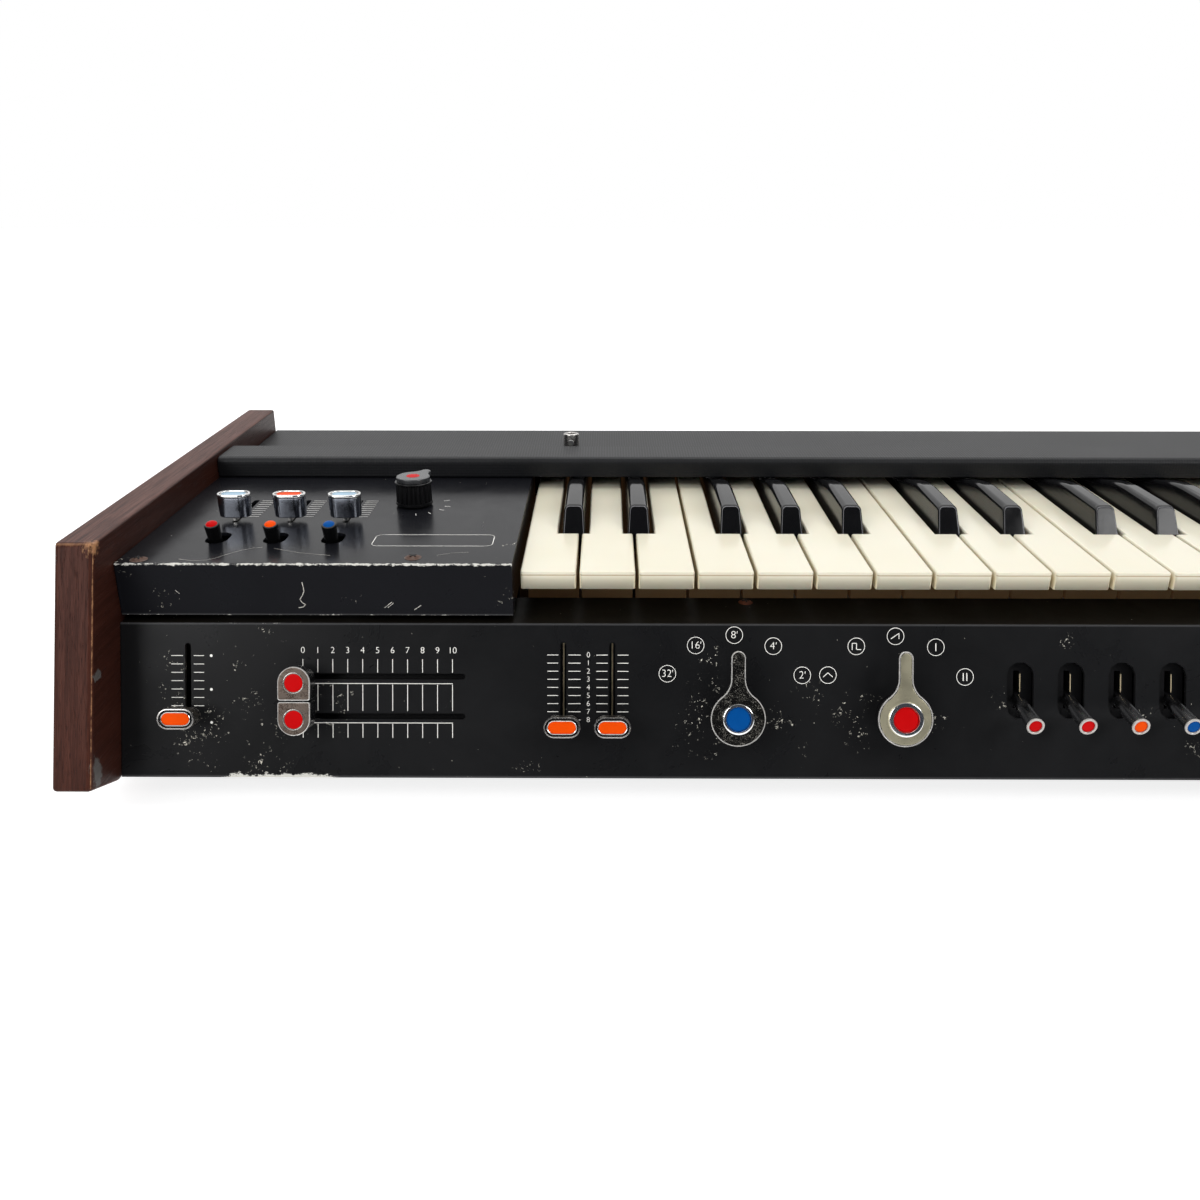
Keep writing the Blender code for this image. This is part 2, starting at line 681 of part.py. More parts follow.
def make_cover(shop):
    """Makes the bent cover over the rear of the keys, and the posts for a music stand."""
    corner = (STRIP_FRONT + STRIP_ROUND, STRIP_TOP - STRIP_ROUND)
    inner_top = STRIP_TOP - COVER_SHEET
    outline = [
        (STRIP_FRONT, DECK_TOP),
        *arc(corner, STRIP_ROUND, math.pi, math.pi / 2, 5),
        (STRIP_REAR, STRIP_TOP),
        (STRIP_REAR, DECK_TOP),
        (COVER_REAR, DECK_TOP),
        (COVER_REAR, DECK_TOP - COVER_SHEET),
        (STRIP_REAR - COVER_SHEET, DECK_TOP - COVER_SHEET),
        (STRIP_REAR - COVER_SHEET, inner_top),
        *arc(corner, STRIP_ROUND - COVER_SHEET, math.pi / 2, math.pi, 2),
        (STRIP_FRONT + COVER_SHEET, DECK_TOP),
    ]
    shop.piece("rear_cover", sideways(outline, -INNER, INNER), "black_vinyl")
    for name, side in (("left_stand_post", -1), ("right_stand_post", 1)):
        foot = DECK_TOP + GAP
        post = turned(
            [
                (0, POST_HEIGHT - POST_BORE_DEPTH),
                (POST_BORE, POST_HEIGHT - POST_BORE_DEPTH),
                (POST_BORE, POST_HEIGHT),
                (POST_RADIUS - POST_CHAMFER, POST_HEIGHT),
                (POST_RADIUS, POST_HEIGHT - POST_CHAMFER),
                (POST_RADIUS, POST_FLANGE_HEIGHT),
                (POST_FLANGE, POST_FLANGE_HEIGHT),
                (POST_FLANGE, 0),
                (0, 0),
            ]
        )
        place = (side * POST_X, POST_Y, foot)
        made = shop.piece(name, post, "chrome", place)
        screw = round_bar(SET_SCREW_RADIUS, POST_RADIUS - SET_SCREW_REACH, POST_RADIUS + SET_SCREW_REACH, 12)
        turn = (math.pi / 2, 0, 0)
        seat = (side * POST_X, POST_Y, foot + SET_SCREW_HEIGHT)
        shop.join(made, shop.tool("set_screw", screw, seat, turn=turn))


def key_outline_end(seated):
    """Returns the tail of a key's side profile, from its rear top to its deep body's foot."""
    tail = [(KEY_REAR, KEY_TOP), (KEY_REAR, KEY_TAIL_FOOT)]
    if not seated:
        tail += [
            (PIVOT_Y + SEAT_HALF, KEY_TAIL_FOOT),
            (PIVOT_Y + PIVOT_EDGE + SEAT_SLACK, PIVOT_Z + GAP),
            (PIVOT_Y - PIVOT_EDGE - SEAT_SLACK, PIVOT_Z + GAP),
            (PIVOT_Y - SEAT_HALF, KEY_TAIL_FOOT),
        ]
    return tail + [(KEY_TAIL_STEP, KEY_TAIL_FOOT), (KEY_TAIL_STEP - KEY_STEP_RUN, KEY_BODY_FOOT)]


def natural_outline(seated):
    """Returns the side profile of a natural: thin lip, deep body and stepped tail."""
    nose = arc((KEY_FRONT + KEY_EDGE, KEY_TOP - KEY_EDGE), KEY_EDGE, math.pi, math.pi / 2, 3)
    body = [
        (KEY_BODY_FRONT, KEY_BODY_FOOT),
        (KEY_BODY_FRONT, KEY_TOP - KEY_LIP),
        (KEY_FRONT + KEY_LIP_LEAN, KEY_TOP - KEY_LIP),
    ]
    return nose + key_outline_end(seated) + body


def sharp_outline(seated):
    """Returns the side profile of a sharp: leaning front, level top and a long fall to the tail."""
    foot_front = SHARP_FOOT_FRONT
    nose_centre = (SHARP_TOP_FRONT + SHARP_NOSE, SHARP_TOP - SHARP_NOSE)
    nose = arc(nose_centre, SHARP_NOSE, math.radians(145), math.pi / 2, 3)
    fall = []
    for i in range(SHARP_FALL_STEPS + 1):
        share = i / SHARP_FALL_STEPS
        y = SHARP_LEVEL_END + (SHARP_TAIL_START - SHARP_LEVEL_END) * share
        fall.append((y, SHARP_TOP - (SHARP_TOP - SHARP_TAIL_TOP) * share**SHARP_FALL_POWER))
    tail = [(SHARP_TAIL_REST, SHARP_TAIL_LOW), (KEY_REAR, SHARP_TAIL_LOW)]
    body = [
        (foot_front + SHARP_UNDERCUT, KEY_BODY_FOOT),
        (foot_front + SHARP_UNDERCUT, KEY_TOP - SHARP_UNDERCUT * 2),
        (foot_front, KEY_TOP - SHARP_UNDERCUT),
        (foot_front, KEY_TOP + SHARP_FOOT_RISE),
    ]
    return nose + fall + tail + key_outline_end(seated)[1:] + body


def key_list():
    """Returns (name, is_sharp, left, right, middle of tail) for each key from left to right."""
    keys = []
    natural = 0
    for note in range(NATURALS // 7 * 12 + 1):
        octave, step = divmod(note, 12)
        name = f"key_{NOTE_NAMES[step]}_{octave + 1}"
        edge = KEYS_LEFT + natural * KEY_PITCH
        if step in SHARP_LEAN:
            middle = edge + SHARP_LEAN[step]
            keys.append((name, True, middle - SHARP_WIDTH / 2, middle + SHARP_WIDTH / 2, middle))
            continue
        left = edge + KEY_GAP / 2
        right = edge + KEY_PITCH - KEY_GAP / 2
        tail_left = left
        tail_right = right
        notch = SHARP_WIDTH / 2 + NOTCH_CLEARANCE
        if step - 1 in SHARP_LEAN:
            tail_left = edge + SHARP_LEAN[step - 1] + notch
        if step + 1 in SHARP_LEAN and note < NATURALS // 7 * 12:
            tail_right = edge + KEY_PITCH + SHARP_LEAN[step + 1] - notch
        keys.append((name, False, left, right, (tail_left + tail_right) / 2))
        natural += 1
    return keys


def sharp_mesh(left, right, seated):
    """Returns a sharp whose sides lean in above the naturals and whose upper edges are eased."""
    mesh = sideways(sharp_outline(seated), left, right)
    middle = (left + right) / 2
    built = bmesh.new()
    built.from_mesh(mesh)
    lean = (1 - SHARP_TOP_WIDTH / SHARP_WIDTH) / (SHARP_TOP - KEY_TOP)
    for vert in built.verts:
        rise = max(0.0, vert.co.z - KEY_TOP)
        vert.co.x = middle + (vert.co.x - middle) * (1 - lean * rise)
    upper = [
        edge
        for edge in built.edges
        if min(vert.co.z for vert in edge.verts) > KEY_TOP + SHARP_FOOT_RISE / 2
        and abs(edge.verts[0].co.x - edge.verts[1].co.x) < SHARP_EDGE
        and max(vert.co.y for vert in edge.verts) < STRIP_FRONT
    ]
    bmesh.ops.bevel(
        built,
        geom=upper,
        offset=SHARP_EDGE,
        segments=1,
        affect="EDGES",
        profile=SHARP_EDGE_PROFILE,
        clamp_overlap=True,
    )
    bmesh.ops.triangulate(built, faces=[face for face in built.faces if len(face.verts) > 4])
    built.to_mesh(mesh)
    built.free()
    return mesh


def key_mesh(shop, key, notches, guide_slots, seated):
    """Returns one key's finished mesh, cut for its neighbours and for its guide."""
    name, is_sharp, left, right, tail = key
    mesh = sharp_mesh(left, right, seated) if is_sharp else sideways(natural_outline(seated), left, right)
    blank = bpy.data.objects.new(name, mesh)
    if not is_sharp:
        near = [tool for x, tool in notches if left - KEY_PITCH / 2 < x < right + KEY_PITCH / 2]
        for tool in near:
            shop.cut(blank, tool)
    if not seated:
        shop.cut(blank, guide_slots[name])
    return baked(blank)


def make_keyboard(shop):
    """Makes the hinged keys, and the frame with its pivot rail, guides and last octave."""
    keys = key_list()
    notches = []
    guide_slots = {}
    tongues = []
    notch = SHARP_WIDTH / 2 + NOTCH_CLEARANCE
    for name, is_sharp, left, right, tail in keys:
        if is_sharp:
            low = (tail - notch, NOTCH_FRONT, KEY_BODY_FOOT - KEY_LIP)
            high = (tail + notch, KEY_REAR + KEY_LIP, KEY_TOP + KEY_LIP)
            notches.append((tail, shop.tool(name + "_notch", block(low, high))))
        half = GUIDE_WIDTH / 2
        depth = GUIDE_DEPTH / 2
        low = (tail - half, GUIDE_Y - depth, RAIL_TOP - SHEET)
        tongues.append(block(low, (tail + half, GUIDE_Y + depth, GUIDE_TOP)))
        low = (tail - half - GUIDE_SLACK, GUIDE_Y - GUIDE_SLOT_DEPTH / 2, KEY_BODY_FOOT - KEY_LIP)
        high = (tail + half + GUIDE_SLACK, GUIDE_Y + GUIDE_SLOT_DEPTH / 2, GUIDE_SLOT_TOP)
        guide_slots[name] = shop.tool(name + "_guide_slot", block(low, high))
    for key in keys[:HINGED_KEYS]:
        mesh = key_mesh(shop, key, notches, guide_slots, seated=False)
        pivot = Vector(((key[2] + key[3]) / 2, PIVOT_Y, PIVOT_Z))
        look = "ebony" if key[1] else "ivory"
        shop.piece(key[0], moved(mesh, Matrix.Translation(-pivot)), look, pivot)
    fixed = [key_mesh(shop, key, notches, guide_slots, seated=True) for key in keys[HINGED_KEYS:]]
    make_key_frame(shop, tongues, fixed)


def make_key_frame(shop, tongues, fixed):
    """Makes the pressed frame under the keys and fuses the fixed octave and the guides with it."""
    base = PAN_TOP + GAP
    deck = base + SHEET
    half = PIVOT_RAIL / 2
    outline = [
        (FRAME_FRONT, base),
        (PIVOT_Y + FRAME_REACH, base),
        (PIVOT_Y + FRAME_REACH, deck),
        (PIVOT_Y + half, deck),
        (PIVOT_Y + half, PIVOT_Z - PIVOT_RAIL),
        (PIVOT_Y + PIVOT_EDGE, PIVOT_Z),
        (PIVOT_Y - PIVOT_EDGE, PIVOT_Z),
        (PIVOT_Y - half, PIVOT_Z - PIVOT_RAIL),
        (PIVOT_Y - half, deck),
        (RAIL_REAR, deck),
        (RAIL_REAR, RAIL_TOP),
        (RAIL_FRONT, RAIL_TOP),
        (RAIL_FRONT, deck),
        (FRAME_FRONT, deck),
    ]
    frame = shop.piece("key_frame", sideways(outline, KEYS_LEFT + GAP, KEYS_RIGHT - GAP), "steel")
    shop.join(frame, shop.tool("guide_tongues", merged(tongues)))
    shop.join(frame, shop.tool("fixed_octave", merged(fixed)))


def cap_slider(shop, name, plane, place, back, face, reach):
    """Makes a chrome slider cap with a sunk face, on a flat stem that reaches through its slot."""
    mesh = raised(stadium(CAP_LENGTH, CAP_WIDTH), back, face)
    for vert in mesh.vertices:
        if vert.co.z < (back + face) / 2:
            vert.co.x *= 1 - CAP_TAPER / CAP_LENGTH * 2
            vert.co.y *= 1 - CAP_TAPER / CAP_WIDTH * 2
    cap = shop.piece(name, mesh, "chrome", place, plane)
    shop.soften(cap, CAP_ROUND)
    pocket = stadium(CAP_LENGTH - 2 * CAP_RIM, CAP_WIDTH - 2 * CAP_RIM)
    shop.cut(cap, shop.tool(name + "_pocket", raised(pocket, face - CAP_POCKET, face + CAP_POCKET), place, plane))
    stem = block((-STEM_WIDTH / 2, -STEM_LENGTH / 2, -reach), (STEM_WIDTH / 2, STEM_LENGTH / 2, back + CAP_ROUND * 2))
    shop.join(cap, shop.tool(name + "_stem", stem, place, plane))
    return cap


def twin_slider(shop, name, down, side):
    """Makes one of two D-shaped caps that stand back to back, each on its own cross slot."""
    radius = TWIN_CAP_WIDTH / 2
    flat = -TWIN_SPLIT - side * TWIN_CAP_GAP / 2 + down
    far = flat - side * TWIN_CAP_LENGTH
    centre = far + side * radius
    steps = 8
    if side < 0:
        outline = arc((0, centre), radius, 0, math.pi, steps) + [(-radius, flat), (radius, flat)]
    else:
        outline = arc((0, centre), radius, math.pi, 2 * math.pi, steps) + [(radius, flat), (-radius, flat)]
    place = (TWIN_X, -down, 0)
    cap = shop.piece(name, raised(outline, CAP_BACK, CAP_FACE), "chrome", place, shop.panel)
    shop.soften(cap, CAP_ROUND)
    pocket = round_bar(TWIN_INSERT_RADIUS, CAP_FACE - CAP_POCKET, CAP_FACE + CAP_POCKET, centre=(0, centre))
    shop.cut(cap, shop.tool(name + "_pocket", pocket, place, shop.panel))
    half = (STEM_LENGTH / 2, STEM_WIDTH / 2)
    reach = POT_FACE - GAP
    stem = block((-half[0], -half[1], -reach), (*half, CAP_BACK + CAP_ROUND * 2))
    shop.join(cap, shop.tool(name + "_stem", stem, place, shop.panel))


def make_sliders(shop):
    """Makes the sliders on the front panel."""
    reach = POT_FACE - GAP
    uprights = [("volume_slider", VOLUME_X, VOLUME_REST)]
    uprights += [
        (name, x, ENVELOPE_REST) for name, x in zip(("attack_slider", "percussion_slider"), ENVELOPE_XS)
    ]
    for name, x, rest in uprights:
        cap_slider(shop, name, shop.panel, (x, -rest, 0), CAP_BACK, CAP_FACE, reach)
    twin_slider(shop, "upper_cross_slider", TWIN_STEMS[0], -1)
    twin_slider(shop, "lower_cross_slider", TWIN_STEMS[1], 1)


def make_knobs(shop):
    """Makes the teardrop pointer knobs, each with a raised boss around a sunk centre."""
    names = ("scale_knob", "mode_knob", "speed_knob", "depth_knob")
    for name, x in zip(names, KNOB_XS):
        place = (x, -KNOB_DOWN, 0)
        outline = teardrop(KNOB_RADIUS, KNOB_REACH, KNOB_NECK, KNOB_FILLET)
        knob = shop.piece(name, raised(outline, KNOB_BACK, KNOB_FACE), "chrome", place, shop.panel)
        shop.soften(knob, KNOB_ROUND)
        foot = KNOB_HUB_FOOT
        core = turned(
            [
                (0, KNOB_BOSS_FACE - KNOB_POCKET),
                (KNOB_POCKET_RADIUS, KNOB_BOSS_FACE - KNOB_POCKET),
                (KNOB_POCKET_RADIUS, KNOB_BOSS_FACE),
                (KNOB_BOSS, KNOB_BOSS_FACE),
                (KNOB_BOSS + KNOB_ROUND, (KNOB_FACE + KNOB_BACK) / 2),
                (KNOB_HUB, (KNOB_FACE + KNOB_BACK) / 2),
                (KNOB_HUB, foot),
                (KNOB_SHAFT, foot),
                (KNOB_SHAFT, GAP - ROTARY_FACE),
                (0, GAP - ROTARY_FACE),
            ]
        )
        shop.join(knob, shop.tool(name + "_core", core, place, shop.panel))


def make_levers(shop):
    """Makes the lever switches, each hung on a pivot behind the face and resting tipped down."""
    pocket_radius, pocket_depth = LEVER_TIP_POCKET
    blade_width, blade_depth = LEVER_BLADE
    for number, x in enumerate(LEVER_XS, 1):
        name = f"lever_{number}"
        handle = turned(
            [
                (0, LEVER_LENGTH - pocket_depth),
                (pocket_radius, LEVER_LENGTH - pocket_depth),
                (pocket_radius, LEVER_LENGTH),
                (LEVER_TIP_RADIUS, LEVER_LENGTH),
                (LEVER_TIP_RADIUS, LEVER_LENGTH - LEVER_TIP_LENGTH),
                (LEVER_NECK_RADIUS, LEVER_LENGTH - LEVER_TIP_LENGTH),
                (LEVER_ROOT_RADIUS, LEVER_COLLAR),
                (0, LEVER_COLLAR),
            ],
            12,
        )
        place = (x, -LEVER_SLOT_DOWN, -LEVER_PIVOT)
        lever = shop.piece(name, handle, "black_plastic", place, shop.panel)
        lever.rotation_euler = (LEVER_THROW, 0, 0)
        low = (-blade_width / 2, -blade_depth / 2, -blade_depth / 2)
        high = (blade_width / 2, blade_depth / 2, LEVER_COLLAR + blade_depth / 2)
        turn = (LEVER_THROW, 0, 0)
        shop.join(lever, shop.tool(name + "_blade", block(low, high), place, shop.panel, turn))


def make_effects_controls(shop):
    """Makes the sliders, lever switches and rotary selector of the effects panel."""
    reach = POT_FACE - GAP
    pocket_radius, pocket_depth = EFFECT_SWITCH_POCKET
    length = EFFECT_SWITCH_LENGTH
    for number, x in enumerate(EFFECT_XS, 1):
        place = (x, EFFECT_SLIDER_REST, 0)
        name = f"effects_slider_{number}"
        cap_slider(shop, name, shop.effects, place, EFFECT_CAP_BACK, EFFECT_CAP_FACE, reach)
        handle = turned(
            [
                (0, length - pocket_depth),
                (pocket_radius, length - pocket_depth),
                (pocket_radius, length),
                (EFFECT_SWITCH_TIP, length),
                (EFFECT_SWITCH_TIP, length - EFFECT_SWITCH_TAPER),
                (EFFECT_SWITCH_ROOT, 0),
                (EFFECT_SWITCH_ROOT, -EFFECT_SWITCH_ROOT),
                (0, -EFFECT_SWITCH_ROOT),
            ],
            12,
        )
        place = (x, EFFECT_SWITCH_Y, -EFFECT_SWITCH_PIVOT)
        lever = shop.piece(f"effects_lever_{number}", handle, "black_plastic", place, shop.effects)
        lever.rotation_euler = (EFFECT_SWITCH_THROW, 0, 0)
    make_selector(shop)


def make_selector(shop):
    """Makes the fluted rotary selector with a pointed top plate."""
    place = (*SELECTOR_PLACE, 0)
    body = raised(fluted(SELECTOR_RADIUS, SELECTOR_FLUTE_DEPTH, SELECTOR_FLUTES), SELECTOR_FOOT, SELECTOR_HEIGHT)
    knob = shop.piece("rotary_selector", body, "black_plastic", place, shop.effects)
    top = SELECTOR_HEIGHT + SELECTOR_DISC
    pointer = teardrop(SELECTOR_SKIRT, SELECTOR_REACH, SELECTOR_NECK, SELECTOR_SKIRT)
    plate = raised(pointer, SELECTOR_HEIGHT - EPSILON, top)
    turn = (0, 0, SELECTOR_HEADING - math.pi / 2)
    shop.join(knob, shop.tool("selector_plate", plate, place, shop.effects, turn))
    skirt = round_bar(SELECTOR_SKIRT, SELECTOR_FOOT - EPSILON, SELECTOR_FOOT + SELECTOR_SKIRT_HEIGHT, 24)
    shop.join(knob, shop.tool("selector_skirt", skirt, place, shop.effects))
    shaft = round_bar(SELECTOR_SHAFT, GAP - ROTARY_FACE, SELECTOR_FOOT + SELECTOR_SKIRT_HEIGHT / 2, 12)
    shop.join(knob, shop.tool("selector_shaft", shaft, place, shop.effects))
    dot = round_bar(SELECTOR_DOT, top - SELECTOR_DOT_DEPTH, top + SELECTOR_DOT_DEPTH)
    shop.cut(knob, shop.tool("selector_dot", dot, place, shop.effects))


def make_control_board(shop):
    """Makes the board behind the sloped face with the bodies of its sliders, pots and switches."""
    back = -BOARD_BACK
    low = (-INNER + BOARD_MARGIN, -BOARD_TOP - BOARD_LENGTH, back - BOARD_THICKNESS)
    high = (INNER - BOARD_MARGIN, -BOARD_TOP, back)
    board = shop.piece("control_board", block(low, high), "board", parent=shop.panel)
    root = back - BOARD_THICKNESS / 2
    bodies = []
    for (x, middle, _), (width, length) in slot_places():
        half_x = POT_WIDTH / 2 if width < length else width / 2 + POT_END
        half_y = POT_WIDTH / 2 if width > length else length / 2 + POT_END / 2
        bodies.append(block((x - half_x, middle - half_y, root), (x + half_x, middle + half_y, -POT_FACE)))
    for x in KNOB_XS:
        bodies.append(round_bar(ROTARY_RADIUS, root, -ROTARY_FACE, 12, (x, -KNOB_DOWN)))
    wide, tall = SWITCH_BODY
    for x in LEVER_XS:
        low = (x - wide / 2, -LEVER_SLOT_DOWN - tall / 2, root)
        bodies.append(block(low, (x + wide / 2, -LEVER_SLOT_DOWN + tall / 2, -SWITCH_FACE)))
    edge = INNER - BOARD_MARGIN - PILLAR_RADIUS * 2
    low_end = PILLAR_RADIUS * 2 - BOARD_TOP - BOARD_LENGTH
    for x in (-edge, 0, edge):
        bodies.append(round_bar(PILLAR_RADIUS, root, -SHEET - GAP, 12, (x, low_end)))
    for number, body in enumerate(bodies):
        shop.join(board, shop.tool(f"control_body_{number}", body, parent=shop.panel))
    slits = []
    slit_width, slit_length = SWITCH_SLIT
    for x in LEVER_XS:
        low = (x - slit_width / 2, -LEVER_SLOT_DOWN - slit_length / 2, -LEVER_PIVOT - slit_width)
        slits.append(block(low, (x + slit_width / 2, -LEVER_SLOT_DOWN + slit_length / 2, 0)))
    shop.cut(board, shop.tool("switch_slits", merged(slits), parent=shop.panel))


def make_effects_board(shop):
    """Makes the board hung under the effects panel with the bodies of its controls."""
    back = -EFFECT_BOARD_DROP
    root = back - BOARD_THICKNESS / 2
    x_low = -INNER + SHEET + EFFECT_BOARD_MARGIN
    x_high = SELECTOR_PLACE[0] + ROTARY_RADIUS + EFFECT_BOARD_MARGIN
    y_low = EFFECT_SWITCH_Y - EFFECT_BOARD_MARGIN
    y_high = EFFECT_SLIDER_REST + EFFECT_TRAVEL + SLOT_FAR + POT_END + EFFECT_BOARD_MARGIN
    plate = block((x_low, y_low, back - BOARD_THICKNESS), (x_high, y_high, back))
    board = shop.piece("effects_board", plate, "board", parent=shop.effects)
    bodies = []
    half = POT_WIDTH / 2
    sine = math.sin(EFFECT_SWITCH_THROW)
    low_corner = EFFECT_SWITCH_ROOT * (sine + math.cos(EFFECT_SWITCH_THROW))
    switch_face = -EFFECT_SWITCH_PIVOT - low_corner - GAP
    for x in EFFECT_XS:
        near = EFFECT_SLIDER_REST - POT_END
        far = EFFECT_SLIDER_REST + EFFECT_TRAVEL + POT_END
        bodies.append(block((x - half, near, root), (x + half, far, -POT_FACE)))
        near = EFFECT_SWITCH_Y - half
        bodies.append(block((x - half, near, root), (x + half, near + POT_WIDTH, switch_face)))
    bodies.append(round_bar(ROTARY_RADIUS, root, -ROTARY_FACE, 12, SELECTOR_PLACE))
    for y in (y_low + PILLAR_RADIUS * 2, y_high - PILLAR_RADIUS * 2):
        for x in (x_low + PILLAR_RADIUS * 2, x_high - PILLAR_RADIUS * 2):
            bodies.append(round_bar(PILLAR_RADIUS, root, -SHEET - GAP, 12, (x, y)))
    for number, body in enumerate(bodies):
        shop.join(board, shop.tool(f"effects_body_{number}", body, parent=shop.effects))


def main():
    """Builds the whole instrument."""
    shop = Workshop()
    make_cheeks(shop)
    make_bottom_pan(shop)
    make_rear_sockets(shop)
    make_front_panel(shop)
    make_raised_boxes(shop)
    make_cover(shop)
    make_keyboard(shop)
    make_sliders(shop)
    make_knobs(shop)
    make_levers(shop)
    make_effects_controls(shop)
    make_control_board(shop)
    make_effects_board(shop)
    for piece in shop.parts.objects:
        if piece.type == "MESH":
            piece.data.set_sharp_from_angle(angle=math.radians(30))


main()
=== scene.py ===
"""Looks of a vintage analog synthesizer: wood, chipped paint, embossed vinyl, keys and chrome controls.

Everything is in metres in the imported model's frame: the player's side faces -Y and +Z is up.
"""

from __future__ import annotations

import json
import logging
import math
from dataclasses import dataclass, field
from enum import Enum
from typing import Callable, Iterable, Sequence

import bmesh
import bpy
from mathutils import Euler, Matrix, Vector

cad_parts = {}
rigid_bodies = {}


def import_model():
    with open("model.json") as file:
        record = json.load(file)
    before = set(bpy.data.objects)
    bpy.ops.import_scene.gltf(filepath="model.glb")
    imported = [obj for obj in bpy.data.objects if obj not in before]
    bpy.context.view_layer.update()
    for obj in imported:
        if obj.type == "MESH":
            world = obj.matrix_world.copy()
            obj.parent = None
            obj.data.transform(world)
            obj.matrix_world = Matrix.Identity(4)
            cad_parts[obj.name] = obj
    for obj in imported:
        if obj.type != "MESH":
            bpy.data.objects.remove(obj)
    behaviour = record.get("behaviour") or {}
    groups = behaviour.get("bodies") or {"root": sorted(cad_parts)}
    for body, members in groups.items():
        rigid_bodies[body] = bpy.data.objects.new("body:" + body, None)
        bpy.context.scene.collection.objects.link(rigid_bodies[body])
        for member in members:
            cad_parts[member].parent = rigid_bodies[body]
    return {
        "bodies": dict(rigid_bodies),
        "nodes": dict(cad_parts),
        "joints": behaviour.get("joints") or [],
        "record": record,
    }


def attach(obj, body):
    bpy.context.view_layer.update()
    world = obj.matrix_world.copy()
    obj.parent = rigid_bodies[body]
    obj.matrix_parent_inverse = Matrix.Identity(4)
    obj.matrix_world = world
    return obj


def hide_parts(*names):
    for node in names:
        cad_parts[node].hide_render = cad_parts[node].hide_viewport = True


LOG = logging.getLogger("synthesizer")

PANEL_TILT = math.radians(20.0)
PANEL_TOP_Y = -0.0944
PANEL_TOP_Z = 0.0706
EFFECTS_TOP = 0.0947
EFFECTS_FRONT = -0.0920
EFFECTS_ENDS = (-0.353, -0.200)
KNOB_DOWN = 0.0359
LEVER_DOWN = 0.0259
LEVER_XS = (0.0017, 0.0217, 0.0417, 0.0617, 0.0817, 0.1017, 0.3080)
INK_LIFT = 0.00004
INK_DEPTH = 0.00004

Point = tuple[float, float]
Colour = tuple[float, float, float]
Socket = bpy.types.NodeSocket


def panel_matrix(x: float = 0.0, down: float = 0.0, out: float = 0.0) -> Matrix:
    """Places a local frame on the sloped front panel.

    Args:
        x: distance to the right of the instrument's middle.
        down: distance down the slope from the panel's top edge.
        out: height off the face.

    Returns:
        The matrix whose X runs right, Y runs up the slope and Z leaves the face.
    """
    turn = Matrix.Rotation(math.pi / 2 - PANEL_TILT, 4, "X")
    origin = Matrix.Translation((0.0, PANEL_TOP_Y, PANEL_TOP_Z))
    return origin @ turn @ Matrix.Translation((x, -down, out))


def effects_matrix(x: float = 0.0, y: float = 0.0, out: float = 0.0) -> Matrix:
    """Places a local frame on the level top of the effects panel.

    Args:
        x: place along the instrument.
        y: place from front to back.
        out: height above the panel.

    Returns:
        The matrix of the place.
    """
    return Matrix.Translation((x, y, EFFECTS_TOP + out))


class Ink(Enum):
    """The colours of the coloured inserts in the controls."""

    RED = (0.46, 0.002, 0.003)
    ORANGE = (0.72, 0.062, 0.001)
    BLUE = (0.001, 0.062, 0.25)
    PALE_BLUE = (0.30, 0.42, 0.52)


